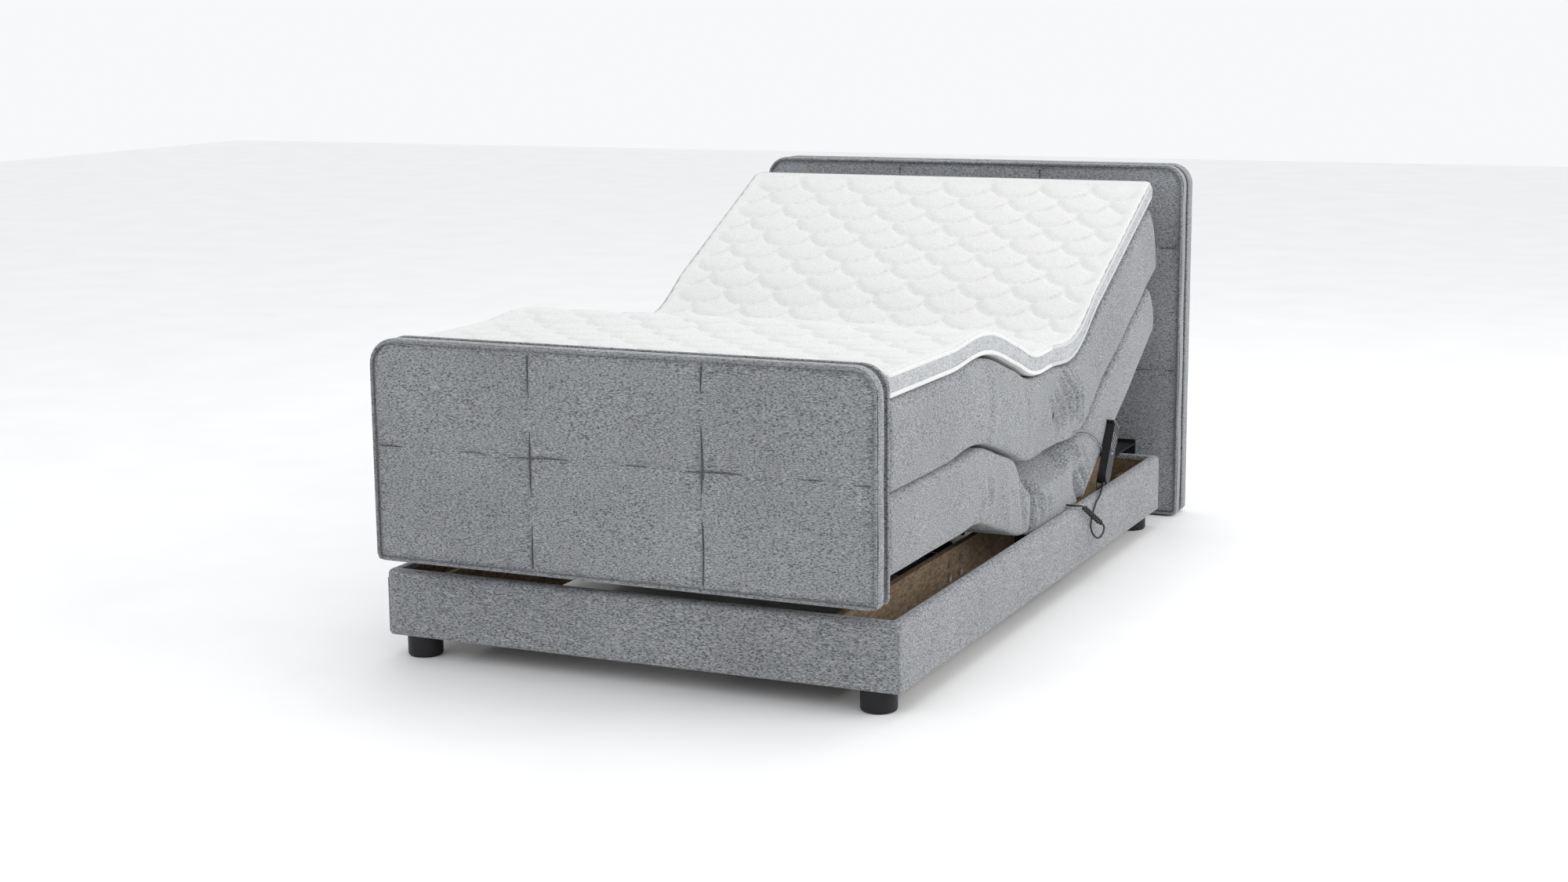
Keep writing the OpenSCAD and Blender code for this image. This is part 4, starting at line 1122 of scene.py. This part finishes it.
for end, s in boardSets.items():
    node = end + "board_"
    low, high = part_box(node + "front_pad")
    # The headboard face takes the lighter copy of the grey chenille: painted light against its shade.
    faceCloth = litBoardCloth if end == "head" else greyCloth
    front = boardPad(end + "boardFront", low, high, -1, s, faceCloth, s["seams"],
                     [(0.0006, 0.16), (0, 0.26), (0, 0.5), (0.0004, 0.8), (0.0025, 0.93), (0.006, 1.0)])
    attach(front, s["body"])
    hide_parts(node + "front_pad")
    backLow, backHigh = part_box(node + "back_pad")
    coreLow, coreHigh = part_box(node + "core")
    # The recessed core between the pads takes the near-black cloth: painted shade in that gap.
    core = boardPad(end + "boardCore", (coreLow[0], coreLow[1], coreLow[2]), coreHigh, 1,
                    {**s, "edgeDrop": 0, "seamDip": 0, "step": 0.02, "topRound": 0.046, "lowRound": 0.01},
                    grooveShadeCloth, (), [(0, 0.2), (0, 0.8), (0.001, 1.0)])
    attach(core, s["body"])
    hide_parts(node + "core")
    back = boardPad(end + "boardBack", backLow, backHigh, 1, {**s, "crown": 0.012, "seamDip": 0, "edgeDrop":
                    min(0.005, (backHigh[1] - backLow[1]) * 0.35), "seed": s["seed"] + 5},
                    greyCloth, (), [(0.0005, 0.35), (0, 0.6), (0.001, 0.85), (0.004, 1.0)])
    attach(back, s["body"])
    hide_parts(node + "back_pad")
    half = high[0]
    rim = (half, low[2], high[2], s["topRound"], s["lowRound"])
    piping = [tubeAlong(end + "PipingFront", boardOutline(*rim, low[1] + 0.0045, 0.0045),
                        0.0036, pipingCloth, 8, True),
              tubeAlong(end + "PipingBack", boardOutline(*rim, backLow[1] + 0.002, 0.003),
                        0.003, pipingCloth, 8, True)]
    lines = [(boardOutline(*rim, low[1] + 0.017, -0.0003), True),
             (boardOutline(*rim, high[1] - 0.008, 0.0008), True)]
    piping.append(beadsAlong(end + "Stitches", lines, stitchSet, greyThread))
    # Thin dark tubes sunk in each seam: painted shade along the seam grooves.
    for axis, at, reach in s["seams"]:
        last = (high[2] - 0.016) if axis == "x" else (half - 0.016)
        first = (low[2] + 0.016) if axis == "x" else (0.016 - half)
        run = np.arange(first, last, 0.008)
        over = at + 0.0016 * np.sin(run * 31 + at * 50)
        sunk = low[1] + 0.0106
        route = [(o, sunk, r) if axis == "x" else (r, sunk, o) for r, o in zip(run, over)]
        piping.append(tubeAlong(end + "SeamLine", route, 0.0013, grooveShadeCloth, 8))
    trim = joinPlain(end + "boardPiping", piping)
    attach(trim, s["body"])
    print(end + "board made")


# Plinth cover
plinthSet = {"corner": 0.015, "rim": 0.013, "step": 0.012}


def plinthRing(low, high, d, z, s, count):
    hx, hy = (high[0] - low[0]) / 2 - d, (high[1] - low[1]) / 2 - d
    r = max(s["corner"] - d, 0.0006)
    cy = (low[1] + high[1]) / 2
    pts = []
    nx, ny = count
    for sx, sy, start in ((1, -1, -90), (1, 1, 0), (-1, 1, 90), (-1, -1, 180)):
        cx0, cy0 = sx * (hx - r), cy + sy * (hy - r)
        for a in np.linspace(0, 90, 6):
            turn = math.radians(start + a)
            pts.append((cx0 + r * math.cos(turn), cy0 + r * math.sin(turn), z))
        nxt = {(1, -1): (1, 1), (1, 1): (-1, 1), (-1, 1): (-1, -1), (-1, -1): (1, -1)}[(sx, sy)]
        n = ny if nxt[0] == sx else nx
        ax, ay = pts[-1][0], pts[-1][1]
        bx = nxt[0] * (hx - r) if n == nx else ax
        by = cy + nxt[1] * (hy - r) if n == ny else ay
        for t in np.linspace(0, 1, n + 1)[1:-1]:
            pts.append((ax + (bx - ax) * t, ay + (by - ay) * t, z))
    return pts


def makePlinth(s):
    low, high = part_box("plinth_cover")
    count = (int((high[0] - low[0]) / s["step"]), int((high[1] - low[1]) / s["step"]))
    foot, top = low[2], high[2]
    profile = [(0.0225, foot + 0.0015), (0.012, foot + 0.0004), (0.003, foot + 0.0004),
               (0.0008, foot + 0.002)]
    profile += [(0.0003, z) for z in np.linspace(foot + 0.006, top - s["rim"], 15)]
    profile += [(s["rim"] * (1 - math.cos(a)), top - s["rim"] * (1 - math.sin(a)))
                for a in np.linspace(0, math.pi / 2, 6)[1:]]
    profile += [(0.018, top), (0.0225, top - 0.0005), (0.0246, top - 0.0025), (0.0249, top - 0.008),
                (0.0249, top - 0.0135), (0.0238, top - 0.014), (0.0233, top - 0.0048), (0.0067, top - 0.0048),
                (0.0067, foot + 0.003), (0.0225, foot + 0.0028)]
    verts = []
    for d, z in profile:
        verts += plinthRing(low, high, d, z, s, count)
    size = len(verts) // len(profile)
    v = np.array(verts)
    wall = smoothStep((v[:, 2] - foot - 0.004) / 0.02) * smoothStep((top - 0.004 - v[:, 2]) / 0.02)
    push = (0.0011 * softNoise(v, 14, 41) + 0.0007 * softNoise(v, 55, 42) - 0.0008) * wall
    outer = np.zeros(len(v), bool)
    outer[:size * 20] = True
    onX = np.abs(v[:, 0]) > high[0] - 0.002
    onY = (v[:, 1] > high[1] - 0.002) | (v[:, 1] < low[1] + 0.002)
    v[:, 0] += np.where(outer & onX & ~onY, np.sign(v[:, 0]) * push, 0)
    v[:, 1] += np.where(outer & onY & ~onX, np.sign(v[:, 1] - (low[1] + high[1]) / 2) * push, 0)
    n = len(profile)
    faces = []
    for i in range(n):
        for k in range(size):
            m, j = (k + 1) % size, (i + 1) % n
            faces.append((i * size + k, i * size + m, j * size + m, j * size + k))
    cover = recalc(makeObject("plinthCover", v, faces, [greyCloth], sharp=50))
    seams = []
    for sx in (-1, 1):
        for y in (low[1] + 0.0046, high[1] - 0.0046):
            x = sx * (high[0] - 0.0046)
            line = [(x, y, z) for z in np.arange(foot + 0.006, top - 0.014, 0.006)]
            seams.append(tubeAlong("cornerSeam", line, 0.0022, pipingCloth, 8))
    trim = joinPlain("plinthCornerSeams", seams)
    return cover, trim


plinthCover, plinthSeams = makePlinth(plinthSet)
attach(plinthCover, "bed_frame")
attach(plinthSeams, "bed_frame")
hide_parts("plinth_cover")
print("plinth cover made")


# Handset trim
handsetSet = {"place": (0.602, 0.39, 0.222), "lean": math.radians(-33),
              "rows": (0.128, 0.1), "columns": (-0.014, 0, 0.014)}


def onHandset(points):
    c, s = math.cos(handsetSet["lean"]), math.sin(handsetSet["lean"])
    ox, oy, oz = handsetSet["place"]
    return [(ox + x, oy + y * c - z * s, oz + y * s + z * c) for x, y, z in points]


def ovalPath(cy, cz, w, h, x, n=28):
    pts = []
    for i in range(n):
        a = 2 * math.pi * i / n
        end = (1 if math.sin(a) > 0 else -1) * (abs(math.sin(a)) > 1e-6)
        pts.append((x, cy + w * math.cos(a), cz + (h - w) * end + w * math.sin(a)))
    return pts


trimPieces = []
for row in handsetSet["rows"]:
    for column in handsetSet["columns"]:
        ring = ovalPath(column, row, 0.00555, 0.00755, 0.0206)
        trimPieces.append(tubeAlong("keyRing", onHandset(ring), 0.0006, silverTrim, 6, True))
lampRing = [(0.0206, 0.0034 * math.cos(a), 0.082 + 0.0034 * math.sin(a))
            for a in np.linspace(0, 2 * math.pi, 21)[:-1]]
trimPieces.append(tubeAlong("lampRing", onHandset(lampRing), 0.0003, silverTrim, 6, True))
arc = [(0.0186, -0.0286 + 0.0549 * t, 0.1655 + 0.0009 * math.sin(math.pi * t))
       for t in np.linspace(0, 1, 25)]
trimPieces.append(tubeAlong("flangeArc", onHandset(arc), 0.00075, silverTrim, 6))
handsetTrim = joinPlain("handsetTrim", trimPieces)
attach(handsetTrim, "bed_frame")


def handsetWindow():
    # Shallow frame between the two rows of keys.
    w, h, r = 0.019, 0.0042, 0.0012
    pts = []
    for cy, cz, start in ((w - r, 0.114 - h / 2 + r, -90), (w - r, 0.114 + h / 2 - r, 0),
                          (-w + r, 0.114 + h / 2 - r, 90), (-w + r, 0.114 - h / 2 + r, 180)):
        turns = np.radians(start + np.linspace(0, 90, 5))
        pts += [(0.0207, cy + r * math.cos(a), cz + r * math.sin(a)) for a in turns]
    top = onHandset(pts)
    under = onHandset([(0.0199, y, z) for _, y, z in pts])
    n = len(pts)
    faces = [tuple(range(n)), tuple(range(n, 2 * n))[::-1]]
    faces += [(k, n + k, n + (k + 1) % n, (k + 1) % n) for k in range(n)]
    return recalc(makeObject("keySignWindow", top + under, faces, [greyPlastic], sharp=40))


window = handsetWindow()
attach(window, "bed_frame")


# Finishes for the CAD nodes that stay
nodeFinish = {
    "side_boards": chip, "end_boards": chip, "corner_blocks": chip, "bearer_boards": chip,
    "bearer_bolts": bareSteel, "feet": blackPlastic, "cross_members": blackSteel, "bearing_rails": blackSteel,
    "seat_frame": blackSteel, "hinge_pins": bareSteel, "motor_case_lower": greyPlastic,
    "motor_case_upper": greyPlastic, "gear_motors": bareSteel, "control_box": blackPlastic,
    "cord_gland": blackPlastic, "headboard_brackets": blackSteel, "headboard_screws": blackSteel,
    "handset_hanger": blackSteel, "handset_case": blackPlastic, "handset_plate": blackPlastic,
    "handset_light": blueLens, "cord_strain_relief": cordRubber, "back_frame": blackSteel,
    "thigh_frame": blackSteel, "knee_pins": bareSteel, "calf_frame": blackSteel,
    "footboard_brackets": blackSteel, "footboard_screws": bareSteel, "back_shaft": blackSteel,
    "back_rollers": blackPlastic, "leg_shaft": blackSteel, "leg_rollers": blackPlastic,
    "key_back_up": keyRubber, "key_leg_up": keyRubber, "key_both_up": keyRubber,
    "key_back_down": keyRubber, "key_leg_down": keyRubber, "key_both_down": keyRubber}
for name, finish in nodeFinish.items():
    part = frame["nodes"][name]
    if part.material_slots:
        for place in part.material_slots:
            place.material = finish
    else:
        part.data.materials.append(finish)
print("hard parts finished")


# Floor and light
def paleFloor():
    material, nodes, links, shader = newMaterial("paleFloor", 0.55)
    shader.inputs["Specular IOR Level"].default_value = 0.3
    speck = noiseNode(nodes, links, objectPattern(nodes, links), 3.0, 2.0)
    tone = colourRamp(nodes, links, speck.outputs["Fac"],
                      [(0.3, (0.9, 0.9, 0.895)), (0.7, (0.93, 0.93, 0.925))])
    links.new(tone, shader.inputs["Base Color"])
    return material


floor = makeObject("studioFloor", [(-14, -10, 0), (14, -10, 0), (14, 16, 0), (-14, 16, 0)],
                   [(0, 1, 2, 3)], [paleFloor()])

world = bpy.data.worlds.new("studio")
scene.world = world
world.use_nodes = True
world.node_tree.nodes["Background"].inputs["Color"].default_value = (0.97, 0.98, 1.0, 1)
world.node_tree.nodes["Background"].inputs["Strength"].default_value = 0.96

lampSet = {"sideWindow": ((5.2, 0.4, 3.0), (0.4, 0.1, 0.4), (3.4, 2.6), 130.0, (1.0, 0.995, 0.985)),
           "frontFill": ((-1.5, -5.5, 3.2), (0, 0, 0.4), (3.5, 2.5), 45.0, (0.97, 0.98, 1.0)),
           "overhead": ((0.2, 0.6, 4.6), (0, 0.2, 0.4), (3.0, 3.5), 40.0, (1.0, 1.0, 1.0))}
for name, (place, aim, size, power, colour) in lampSet.items():
    data = bpy.data.lights.new(name, "AREA")
    data.shape = "RECTANGLE"
    data.size, data.size_y = size
    data.energy = power
    data.color = colour
    lamp = bpy.data.objects.new(name, data)
    scene.collection.objects.link(lamp)
    lamp.location = place
    lamp.rotation_euler = (Vector(aim) - Vector(place)).to_track_quat("-Z", "Y").to_euler()
scene.view_settings.view_transform = "Standard"
